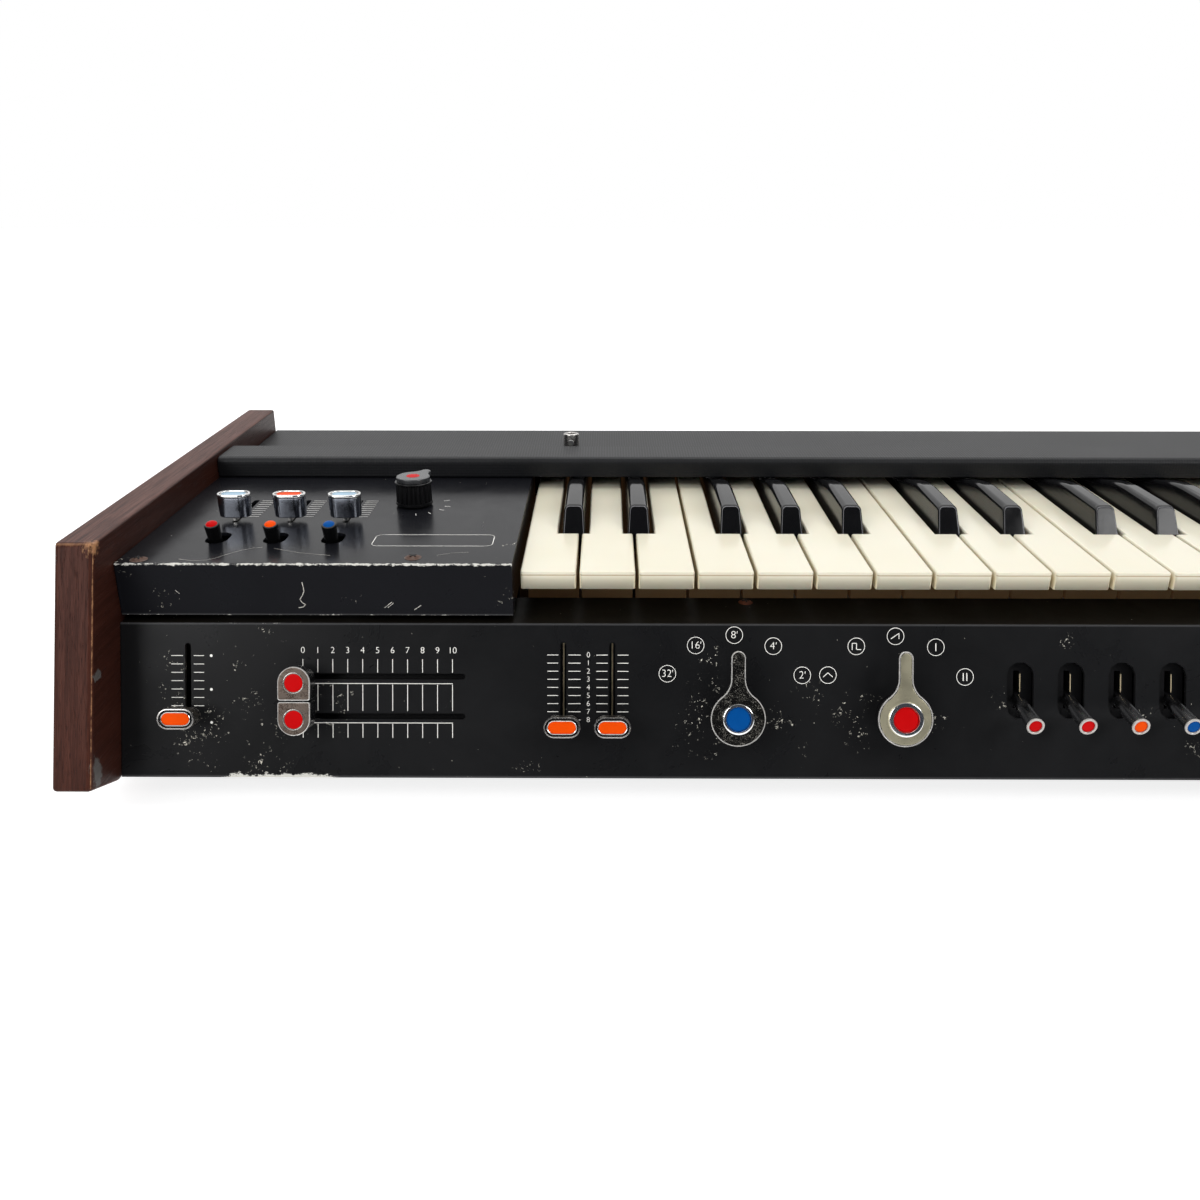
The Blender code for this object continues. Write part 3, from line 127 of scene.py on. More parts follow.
class NodeSheet:
    """Builds one material's node tree with short calls."""

    def __init__(self, name: str) -> None:
        """Starts an empty material.

        Args:
            name: the material's name.
        """
        self.material = bpy.data.materials.new(name)
        self.material.use_nodes = True
        self.nodes = self.material.node_tree.nodes
        self.links = self.material.node_tree.links
        self.shader = self.nodes["Principled BSDF"]
        self.place = self.nodes.new("ShaderNodeTexCoord").outputs["Object"]

    def feed(self, socket: Socket, value: object) -> None:
        """Links a socket to another, or sets its value.

        Args:
            socket: the input.
            value: an output socket, a number, or a colour.
        """
        if isinstance(value, bpy.types.NodeSocket):
            self.links.new(value, socket)
        elif isinstance(value, (tuple, list)) and len(value) == 3 and socket.type == "RGBA":
            socket.default_value = (*value, 1.0)
        else:
            socket.default_value = value

    def math(self, how: str, first: object, second: object = 0.0) -> Socket:
        """Returns the result of a Math node.

        Args:
            how: the operation.
            first: the first input.
            second: the second input.

        Returns:
            The output socket.
        """
        node = self.nodes.new("ShaderNodeMath")
        node.operation = how
        self.feed(node.inputs[0], first)
        self.feed(node.inputs[1], second)
        return node.outputs[0]

    def times(self, first: object, second: object) -> Socket:
        """Returns the product of two values."""
        return self.math("MULTIPLY", first, second)

    def plus(self, first: object, second: object) -> Socket:
        """Returns the sum of two values."""
        return self.math("ADD", first, second)

    def less(self, first: object, second: object) -> Socket:
        """Returns the first value less the second."""
        return self.math("SUBTRACT", first, second)

    def larger(self, first: object, second: object) -> Socket:
        """Returns the larger of two values."""
        return self.math("MAXIMUM", first, second)

    def size(self, value: object) -> Socket:
        """Returns a value without its sign."""
        return self.math("ABSOLUTE", value)

    def mapped(self, scale: Sequence[float], turn: Sequence[float] = (0, 0, 0),
               shift: Sequence[float] = (0, 0, 0)) -> Socket:
        """Returns object coordinates scaled, turned and shifted.

        Args:
            scale: the three scales.
            turn: the three angles in radians.
            shift: the three offsets.

        Returns:
            The output socket.
        """
        node = self.nodes.new("ShaderNodeMapping")
        node.inputs["Scale"].default_value = scale
        node.inputs["Rotation"].default_value = turn
        node.inputs["Location"].default_value = shift
        self.links.new(self.place, node.inputs["Vector"])
        return node.outputs[0]

    def noise(self, scale: float, detail: float = 3.0, rough: float = 0.55, where: object = None,
              warp: float = 0.0) -> Socket:
        """Returns a noise pattern.

        Args:
            scale: how fine it is, per metre.
            detail: its octaves.
            rough: how strong the fine octaves are.
            where: its coordinates, or None for the object's own.
            warp: its distortion.

        Returns:
            The value socket.
        """
        node = self.nodes.new("ShaderNodeTexNoise")
        self.links.new(where or self.place, node.inputs["Vector"])
        node.inputs["Scale"].default_value = scale
        node.inputs["Detail"].default_value = detail
        node.inputs["Roughness"].default_value = rough
        node.inputs["Distortion"].default_value = warp
        return node.outputs[0]

    def ramp(self, value: object, low: float, high: float, start: float = 0.0, end: float = 1.0) -> Socket:
        """Returns a value moved from one range to another and kept in it.

        Args:
            value: the input.
            low: the input that gives start.
            high: the input that gives end.
            start: the output at low.
            end: the output at high.

        Returns:
            The value socket.
        """
        node = self.nodes.new("ShaderNodeMapRange")
        node.clamp = True
        self.feed(node.inputs["Value"], value)
        node.inputs["From Min"].default_value = low
        node.inputs["From Max"].default_value = high
        node.inputs["To Min"].default_value = start
        node.inputs["To Max"].default_value = end
        return node.outputs[0]

    def mix(self, share: object, first: object, second: object) -> Socket:
        """Returns a mix of two colours.

        Args:
            share: how much of the second.
            first: the first colour.
            second: the second colour.

        Returns:
            The colour socket.
        """
        node = self.nodes.new("ShaderNodeMix")
        node.data_type = "RGBA"
        self.feed(node.inputs["Factor"], share)
        self.feed(node.inputs[6], first)
        self.feed(node.inputs[7], second)
        return node.outputs[2]

    def axis(self, name: str, where: object = None) -> Socket:
        """Returns one coordinate of a place.

        Args:
            name: X, Y or Z.
            where: the place, or None for the object's own coordinates.

        Returns:
            The value socket.
        """
        node = self.nodes.new("ShaderNodeSeparateXYZ")
        self.links.new(where or self.place, node.inputs[0])
        return node.outputs[name]

    def near(self, point: Sequence[float], reach: float, squash: Sequence[float] = (1, 1, 1)) -> Socket:
        """Returns 1 at a point, falling to 0 at a distance from it.

        Args:
            point: the centre.
            reach: the distance.
            squash: how much faster it falls along each axis.

        Returns:
            The value socket.
        """
        shift = [-p * s for p, s in zip(point, squash)]
        node = self.nodes.new("ShaderNodeVectorMath")
        node.operation = "LENGTH"
        self.links.new(self.mapped(squash, shift=shift), node.inputs[0])
        return self.ramp(node.outputs["Value"], 0.0, reach, 1.0, 0.0)

    def bump(self, height: object, depth: float, strength: float = 1.0) -> None:
        """Bumps the surface.

        Args:
            height: the height pattern.
            depth: the real depth of one unit.
            strength: how much of it shows.
        """
        node = self.nodes.new("ShaderNodeBump")
        node.inputs["Strength"].default_value = strength
        node.inputs["Distance"].default_value = depth
        self.feed(node.inputs["Height"], height)
        self.links.new(node.outputs[0], self.shader.inputs["Normal"])

    def set(self, **values: object) -> None:
        """Sets the shader's inputs by name, with underscores for spaces."""
        for name, value in values.items():
            self.feed(self.shader.inputs[name.replace("_", " ")], value)


@dataclass(frozen=True)
class WoodFinish:
    """Reddish-brown veneer with fine dark pores, a pale worn front arris and grey scuffs, and painted shade
    on its front and inner faces.
    """

    name: str = "cheek_veneer"
    dark: Colour = (0.030, 0.0080, 0.0044)
    middle: Colour = (0.070, 0.0200, 0.0118)
    light: Colour = (0.112, 0.036, 0.022)
    # Pore colour, also the colour the painted shade on the front and inner faces darkens towards.
    pore: Colour = (0.016, 0.0045, 0.0030)
    worn: Colour = (0.40, 0.20, 0.095)
    scuff: Colour = (0.085, 0.080, 0.076)
    inner_face: float = 0.354
    front_line: tuple[Point, Point] = ((-0.1045, 0.107), (-0.140, 0.0208))
    scuffed: tuple[tuple, tuple] = (
        ((-0.3545, -0.1325, 0.0245), 0.0075, (0.7, 1.0, 0.62)),
        ((-0.354, -0.1195, 0.0595), 0.0042, (1.0, 0.62, 1.0)),
    )

    def grain(self, sheet: NodeSheet, broad: Sequence[float], fine: Sequence[float]) -> Socket:
        """Returns a streaky pattern that is long along one direction.

        Args:
            sheet: the node tree.
            broad: the scales of the wide streaks along the three axes.
            fine: the scales of the narrow ones.

        Returns:
            The value socket.
        """
        wide = sheet.noise(1.0, 4.0, 0.6, sheet.mapped(broad), 0.6)
        narrow = sheet.noise(1.0, 3.0, 0.6, sheet.mapped(fine))
        return sheet.plus(sheet.times(wide, 0.55), sheet.times(narrow, 0.45))

    def pores(self, sheet: NodeSheet, scale: Sequence[float]) -> Socket:
        """Returns short thin dark lines along the grain."""
        return sheet.ramp(sheet.noise(1.0, 2.0, 0.5, sheet.mapped(scale)), 0.60, 0.68)

    def build(self) -> bpy.types.Material:
        """Makes the material.

        Returns:
            The finished material.
        """
        sheet = NodeSheet(self.name)
        (y_top, z_top), (y_toe, z_toe) = self.front_line
        length = math.hypot(y_toe - y_top, z_toe - z_top)
        out_y, out_z = (z_toe - z_top) / length, -(y_toe - y_top) / length
        away = sheet.times(sheet.less(sheet.axis("Y"), y_top), out_y)
        away = sheet.plus(away, sheet.times(sheet.less(sheet.axis("Z"), z_top), out_z))
        front = sheet.ramp(away, -0.0016, -0.0008)
        back = sheet.less(1.0, front)
        lengthwise = self.grain(sheet, (500.0, 22.0, 260.0), (2600.0, 60.0, 1500.0))
        upright = self.grain(sheet, (520.0, 60.0, 16.0), (2400.0, 300.0, 50.0))
        grain = sheet.plus(sheet.times(lengthwise, back), sheet.times(upright, front))
        pores = sheet.times(self.pores(sheet, (3200.0, 90.0, 1900.0)), back)
        pores = sheet.larger(pores, sheet.times(self.pores(sheet, (2600.0, 500.0, 110.0)), front))
        shade = sheet.mix(sheet.ramp(grain, 0.36, 0.54), self.dark, self.middle)
        shade = sheet.mix(sheet.ramp(grain, 0.50, 0.70), shade, self.light)
        shade = sheet.mix(sheet.times(pores, 0.75), shade, self.pore)
        patch = sheet.noise(14.0, 2.0)
        shade = sheet.mix(sheet.ramp(patch, 0.35, 0.75, 0.0, 0.25), shade, self.light)
        side = sheet.size(sheet.axis("X"))
        # Painted shade: the inner face, and the front face a little, are darkened towards the pore colour.
        inner = sheet.ramp(side, self.inner_face + 0.0001, self.inner_face + 0.0004, 1.0, 0.0)
        painted_face_shade = sheet.larger(sheet.times(front, 0.34), sheet.times(inner, 0.75))
        shade = sheet.mix(painted_face_shade, shade, self.pore)
        frayed = sheet.noise(900.0, 3.0, 0.7, sheet.mapped((1.0, 0.4, 0.4)))
        off_arris = sheet.size(sheet.less(side, self.inner_face))
        rim = sheet.ramp(off_arris, 0.0004, 0.0012, 1.0, 0.0)
        edge = sheet.times(rim, sheet.ramp(away, -0.0016, -0.0006))
        edge_wear = sheet.ramp(sheet.plus(edge, sheet.times(frayed, 0.9)), 1.18, 1.42, 0.0, 0.80)
        corner = sheet.near((-self.inner_face, y_top, z_top), 0.014)
        corner_wear = sheet.ramp(sheet.plus(corner, frayed), 1.16, 1.42, 0.0, 0.85)
        top_rim = sheet.times(sheet.ramp(sheet.axis("Z"), z_top - 0.0022, z_top - 0.0002), front)
        top_wear = sheet.ramp(sheet.plus(top_rim, sheet.times(frayed, 0.8)), 0.95, 1.35, 0.0, 0.45)
        wear = sheet.larger(sheet.larger(edge_wear, corner_wear), top_wear)
        shade = sheet.mix(wear, shade, self.worn)
        mark, second = [sheet.near(*scuff) for scuff in self.scuffed]
        scuffs = sheet.ramp(sheet.plus(sheet.larger(mark, second), frayed), 0.98, 1.10, 0.0, 0.85)
        shade = sheet.mix(scuffs, shade, self.scuff)
        sheet.set(Base_Color=shade, Roughness=sheet.ramp(grain, 0.3, 0.7, 0.50, 0.36))
        sheet.set(Specular_IOR_Level=0.13)
        height = sheet.less(sheet.plus(grain, sheet.times(wear, 0.3)), pores)
        sheet.bump(height, 0.00010, 0.7)
        return sheet.material


@dataclass(frozen=True)
class WornLine:
    """A worn edge that runs along X, and the stretch of it where the wear is strong."""

    y: float
    z: float
    reach: float
    strength: float
    start: float = -0.40
    end: float = 0.40
    rest: float = 0.4


@dataclass(frozen=True)
class PaintFinish:
    """Satin black paint with fine dust, chips and cracks in clusters, bare worn edges, and a thin painted
    highlight along those edges.
    """

    name: str
    clusters: tuple[tuple[Sequence[float], float], ...] = ()
    edges: tuple[WornLine, ...] = ()
    chip: Colour = (0.80, 0.77, 0.66)
    bare: Colour = (0.64, 0.63, 0.58)
    colour: Colour = (0.0056, 0.0058, 0.0074)
    # Light grey of a thin painted highlight along the edges.
    rub: Colour = (0.060, 0.060, 0.062)
    rough: float = 0.30
    few: float = 0.752
    gloss: float = 0.16
    fade: float = 0.008

    def worn(self, sheet: NodeSheet) -> tuple[Socket, Socket]:
        """Finds the worn edges, and the thin painted highlight along them.

        Args:
            sheet: the node tree.

        Returns:
            Where the edges are worn to the metal, and where the thin painted highlight runs along them.
        """
        fine = sheet.noise(1000.0, 4.0, 0.75, sheet.mapped((0.6, 1.0, 1.0)))
        broad = sheet.noise(150.0, 3.0, 0.6, sheet.mapped((1.0, 0.5, 0.5)))
        ragged = sheet.plus(sheet.times(fine, 0.60), sheet.times(broad, 0.40))
        worn: object = 0.0
        rubbed: object = 0.0
        for line in self.edges:
            near = sheet.near((0.0, line.y, line.z), line.reach, (0.0, 1.0, 1.0))
            # Painted highlight: a thin band along each edge line, gathered in rubbed.
            thin = sheet.near((0.0, line.y, line.z), 0.0009, (0.0, 1.0, 1.0))
            along = sheet.ramp(sheet.axis("X"), line.start - self.fade, line.start)
            along = sheet.times(along, sheet.ramp(sheet.axis("X"), line.end, line.end + self.fade, 1.0, 0.0))
            along = sheet.ramp(along, 0.0, 1.0, line.strength * line.rest, line.strength)
            worn = sheet.larger(worn, sheet.times(near, along))
            rubbed = sheet.larger(rubbed, thin)
        return (sheet.ramp(sheet.plus(worn, sheet.times(ragged, 1.9)), 1.60, 1.68),
                sheet.ramp(rubbed, 0.15, 0.60, 0.0, 0.75))

    def chips(self, sheet: NodeSheet) -> Socket:
        """Scatters small chips and cracks, most of them in the clusters.

        Args:
            sheet: the node tree.

        Returns:
            Where they show.
        """
        crowd: object = 0.0
        for point, reach in self.clusters:
            crowd = sheet.larger(crowd, sheet.near(point, reach * 1.5))
        crowd = sheet.times(crowd, sheet.ramp(sheet.noise(170.0, 3.0, 0.6, None, 0.6), 0.40, 0.60))
        speck = sheet.noise(900.0, 2.5, 0.6, None, 0.5)
        coarse = sheet.noise(300.0, 3.0, 0.6)
        limit = sheet.less(self.few, sheet.times(crowd, 0.100))
        spots = sheet.ramp(sheet.less(speck, limit), 0.0, 0.018)
        spots = sheet.times(spots, sheet.ramp(coarse, 0.50, 0.58))
        contour = sheet.size(sheet.less(sheet.noise(430.0, 3.0, 0.62, None, 0.7), 0.5))
        cracks = sheet.ramp(contour, 0.012, 0.024, 1.0, 0.0)
        broken = sheet.ramp(sheet.plus(sheet.noise(700.0, 2.0), sheet.times(crowd, 0.09)), 0.62, 0.66)
        cracks = sheet.times(sheet.times(cracks, broken), sheet.ramp(crowd, 0.20, 0.55))
        return sheet.larger(spots, cracks)

    def build(self) -> bpy.types.Material:
        """Makes the material.

        Returns:
            The finished material.
        """
        sheet = NodeSheet(self.name)
        cloud = sheet.noise(9.0, 3.0)
        shade = sheet.mix(sheet.ramp(cloud, 0.3, 0.75), self.colour, tuple(c * 1.5 for c in self.colour))
        chips = self.chips(sheet)
        bare, rubbed = self.worn(sheet)
        # Painted highlight: the thin band along the edges is lightened to the highlight grey.
        shade = sheet.mix(rubbed, shade, self.rub)
        shade = sheet.mix(chips, shade, self.chip)
        shade = sheet.mix(bare, shade, self.bare)
        marks = sheet.larger(chips, bare)
        smear = sheet.noise(34.0, 5.0, 0.7, None, 0.8)
        smeared = sheet.ramp(smear, 0.35, 0.75, self.rough - 0.04, self.rough + 0.08)
        rough = sheet.plus(smeared, sheet.times(marks, 0.25))
        orange_peel = sheet.noise(1500.0, 2.0)
        height = sheet.less(sheet.times(orange_peel, 0.20), marks)
        sheet.set(Base_Color=shade, Roughness=rough)
        sheet.set(Specular_IOR_Level=self.gloss)
        sheet.bump(height, 0.00005, 0.8)
        return sheet.material


@dataclass(frozen=True)
class VinylFinish:
    """Black covering embossed with a fine square grid."""

    name: str = "embossed_vinyl"
    colour: Colour = (0.0085, 0.0088, 0.0098)
    pitch: float = 0.00135

    def build(self) -> bpy.types.Material:
        """Makes the material.

        Returns:
            The finished material.
        """
        sheet = NodeSheet(self.name)
        waves = []
        for axis in "XYZ":
            turn = 2 * math.pi / self.pitch
            waves.append(sheet.math("COSINE", sheet.times(sheet.axis(axis), turn)))
        grid = sheet.plus(waves[0], sheet.plus(waves[1], waves[2]))
        pores = sheet.noise(1800.0, 2.0)
        height = sheet.plus(sheet.times(grid, 0.35), sheet.times(pores, 0.5))
        dust = sheet.ramp(sheet.noise(24.0, 4.0), 0.35, 0.8)
        shade = sheet.mix(dust, self.colour, tuple(c * 1.8 for c in self.colour))
        sheet.set(Base_Color=shade, Roughness=sheet.ramp(grid, -1.5, 1.5, 0.52, 0.40))
        sheet.set(Specular_IOR_Level=0.23)
        sheet.bump(height, 0.00010, 0.7)
        return sheet.material


@dataclass(frozen=True)
class IvoryFinish:
    """Warm cream moulded plastic, with painted shade on its sides, a painted shadow line under the top edge
    of its front, and brown below the lip with painted light and a painted glow.
    """

    name: str = "ivory_keys"
    colour: Colour = (0.775, 0.735, 0.595)
    aged: Colour = (0.735, 0.685, 0.530)
    # Darker, yellower colour of the sides below the top: painted shade in the gaps between the keys.
    side: Colour = (0.66, 0.565, 0.365)
    # Brown of the key bodies below the lip, made lighter as painted light in their shade.
    below: Colour = (0.42, 0.28, 0.15)
    # Brown dirt colour, also used for the painted shadow line under the top edge of the front.
    grime: Colour = (0.42, 0.31, 0.17)
    # Strength of a painted orange glow on the key bodies below the lip.
    seep: float = 0.012
    top: float = 0.0896
    foot: float = 0.0822
    face: float = -0.0865

    def build(self) -> bpy.types.Material:
        """Makes the material.

        Returns:
            The finished material.
        """
        sheet = NodeSheet(self.name)
        patch = sheet.ramp(sheet.noise(14.0, 2.0), 0.35, 0.75)
        shade = sheet.mix(patch, self.colour, self.aged)
        height = sheet.axis("Z")
        head = sheet.ramp(sheet.axis("Y"), self.face + 0.0004, self.face + 0.0010, 1.0, 0.0)
        # Painted shade: the sides below the top are mixed towards the side colour, less so on the front face.
        painted_side_shade = sheet.ramp(height, self.top - 0.0030, self.top - 0.0008, 0.75, 0.0)
        painted_side_shade = sheet.times(painted_side_shade, sheet.ramp(head, 0.0, 1.0, 1.0, 0.20))
        shade = sheet.mix(painted_side_shade, shade, self.side)
        # Painted shadow: a thin dark line just below the top edge on the front face.
        painted_shadow_line = sheet.size(sheet.less(height, self.top - 0.0015))
        painted_shadow_line = sheet.times(sheet.ramp(painted_shadow_line, 0.00012, 0.00034, 1.0, 0.0), head)
        shade = sheet.mix(sheet.times(painted_shadow_line, 0.85), shade, self.grime)
        lowest, low = self.foot - 0.0014, self.foot - 0.0002
        # The key bodies below the lip: their brown, lightened as painted light.
        shade = sheet.mix(sheet.ramp(height, lowest, low, 1.0, 0.0), shade, self.below)
        dirt = sheet.ramp(sheet.noise(300.0, 4.0, 0.7), 0.72, 0.80, 0.0, 0.30)
        front = sheet.ramp(sheet.axis("Y"), -0.088, -0.070, 1.0, 0.10)
        shade = sheet.mix(sheet.times(dirt, front), shade, self.grime)
        sheet.set(Base_Color=shade, Roughness=sheet.ramp(sheet.noise(60.0, 3.0), 0.3, 0.75, 0.15, 0.22))
        sheet.set(Subsurface_Weight=0.06, Subsurface_Scale=0.002, Specular_IOR_Level=0.55)
        # Painted glow: the key bodies below the lip give off a faint orange light.
        under = sheet.ramp(height, lowest, low, self.seep, 0.0)
        sheet.set(Emission_Color=(1.0, 0.52, 0.24), Emission_Strength=under)
        sheet.bump(sheet.less(sheet.times(sheet.noise(60.0, 2.0), 0.1), painted_shadow_line), 0.00015, 0.5)
        return sheet.material


@dataclass(frozen=True)
class GlossFinish:
    """Smooth moulded plastic of one colour, with faint wipe marks."""

    name: str
    colour: Colour
    rough: float = 0.14
    coat: float = 0.3
    gloss: float = 0.5

    def build(self) -> bpy.types.Material:
        """Makes the material.

        Returns:
            The finished material.
        """
        sheet = NodeSheet(self.name)
        patch = sheet.ramp(sheet.noise(60.0, 4.0), 0.3, 0.8)
        shade = sheet.mix(patch, self.colour, tuple(min(1.0, c * 1.25 + 0.001) for c in self.colour))
        rough = sheet.ramp(sheet.noise(90.0, 5.0, 0.7), 0.35, 0.7, self.rough, self.rough + 0.10)
        sheet.set(Base_Color=shade, Roughness=rough)
        sheet.set(Coat_Weight=self.coat, Coat_Roughness=0.06, Specular_IOR_Level=self.gloss)
        sheet.bump(sheet.noise(300.0, 2.0), 0.00002, 0.4)
        return sheet.material


@dataclass(frozen=True)
class ChromeFinish:
    """Old bright plating with grey pits and a dull film."""

    name: str
    pits: float = 0.60
    rough: float = 0.10
    colour: Colour = (0.70, 0.69, 0.67)
    stain: Colour = (0.115, 0.095, 0.078)
    grain: float = 1500.0

    def build(self) -> bpy.types.Material:
        """Makes the material.

        Returns:
            The finished material.
        """
        sheet = NodeSheet(self.name)
        speck = sheet.noise(self.grain, 3.0, 0.6)
        area = sheet.noise(self.grain / 9.0, 3.0, 0.6)
        pits = sheet.ramp(speck, self.pits - 0.06, self.pits + 0.05)
        pits = sheet.times(pits, sheet.ramp(area, 0.40, 0.58))
        shade = sheet.mix(pits, self.colour, self.stain)
        film = sheet.ramp(sheet.noise(90.0, 4.0), 0.35, 0.75, self.rough, self.rough + 0.12)
        sheet.set(Base_Color=shade, Metallic=1.0, Roughness=sheet.plus(film, sheet.times(pits, 0.3)))
        sheet.bump(sheet.times(pits, -1.0), 0.00004, 0.6)
        return sheet.material


@dataclass(frozen=True)
class InkFinish:
    """Off-white screen print, thin and rubbed in places."""

    name: str = "screen_print"
    colour: Colour = (0.95, 0.935, 0.88)
    gone: Colour = (0.030, 0.030, 0.030)

    def build(self) -> bpy.types.Material:
        """Makes the material.

        Returns:
            The finished material.
        """
        sheet = NodeSheet(self.name)
        rubbed = sheet.ramp(sheet.noise(900.0, 3.0, 0.7), 0.60, 0.74, 0.0, 0.85)
        worn = sheet.ramp(sheet.noise(60.0, 2.0), 0.40, 0.62)
        shade = sheet.mix(sheet.times(rubbed, worn), self.colour, self.gone)
        sheet.set(Base_Color=shade, Roughness=0.55)
        sheet.bump(sheet.noise(1200.0, 2.0), 0.00001, 0.4)
        return sheet.material


@dataclass(frozen=True)
class MetalFinish:
    """Plain or rusty metal."""

    name: str
    colour: Colour
    spot: Colour
    share: float = 0.6
    metallic: float = 0.9
    rough: float = 0.42

    def build(self) -> bpy.types.Material:
        """Makes the material.

        Returns:
            The finished material.
        """
        sheet = NodeSheet(self.name)
        patch = sheet.noise(420.0, 4.0, 0.7)
        spots = sheet.ramp(patch, self.share - 0.12, self.share + 0.06)
        shade = sheet.mix(spots, self.colour, self.spot)
        metal = sheet.ramp(spots, 0.0, 1.0, self.metallic, self.metallic * 0.3)
        sheet.set(Base_Color=shade, Metallic=metal,
                  Roughness=sheet.ramp(spots, 0.0, 1.0, self.rough, self.rough + 0.3))
        sheet.bump(patch, 0.00010, 0.6)
        return sheet.material


@dataclass(frozen=True)
class FloorFinish:
    """A plain pale floor."""

    name: str = "pale_floor"
    colour: Colour = (0.44, 0.44, 0.44)
    glow: float = 0.82

    def build(self) -> bpy.types.Material:
        """Makes the material.

        Returns:
            The finished material.
        """
        sheet = NodeSheet(self.name)
        tone = sheet.ramp(sheet.noise(3.0, 2.0), 0.3, 0.7)
        sheet.set(Base_Color=sheet.mix(tone, self.colour, tuple(c * 0.99 for c in self.colour)),
                  Roughness=0.8)
        sheet.set(Specular_IOR_Level=0.1, Emission_Color=(1.0, 1.0, 1.0), Emission_Strength=self.glow)
        return sheet.material


def arc(centre: Point, radius: float, start: float, end: float, steps: int) -> list[Point]:
    """Returns points along an arc, both ends included.

    Args:
        centre: the arc's centre.
        radius: its radius.
        start: the first angle.
        end: the last angle.
        steps: how many steps it takes.

    Returns:
        The points.
    """
    turns = [start + (end - start) * step / steps for step in range(steps + 1)]
    return [(centre[0] + radius * math.cos(turn), centre[1] + radius * math.sin(turn)) for turn in turns]


def stadium(width: float, length: float, steps: int = 14) -> list[Point]:
    """Returns the outline of a slot with round ends.

    Args:
        width: its size along X.
        length: its size along Y.
        steps: how many steps each end takes.

    Returns:
        The points, anticlockwise.
    """
    radius = min(width, length) / 2
    reach = max(width, length) / 2 - radius
    points = arc((0.0, reach), radius, 0.0, math.pi, steps)
    points += arc((0.0, -reach), radius, math.pi, 2 * math.pi, steps)
    return points if length >= width else [(y, -x) for x, y in points]


def teardrop(radius: float, reach: float, neck: float, fillet: float, steps: int = 16) -> list[Point]:
    """Returns a round outline that narrows through two hollow curves into a pointer along +Y.

    Args:
        radius: of the round body.
        reach: from the body's centre to the pointer's end.
        neck: the pointer's width.
        fillet: the radius of the hollow curves.
        steps: how many steps each curve takes.

    Returns:
        The points, anticlockwise.
    """
    tip = neck / 2
    side = fillet + tip
    rise = math.sqrt((radius + fillet) ** 2 - side**2)
    meet = math.atan2(rise, side)
    right = arc((side, rise), fillet, math.pi + meet, math.pi, steps)
    end = arc((0.0, reach - tip), tip, 0.0, math.pi, steps)
    left = arc((-side, rise), fillet, 0.0, -meet, steps)
    body = arc((0.0, 0.0), radius, math.pi - meet, 2 * math.pi + meet, steps * 3)
    return right + end + left + body[1:-1]


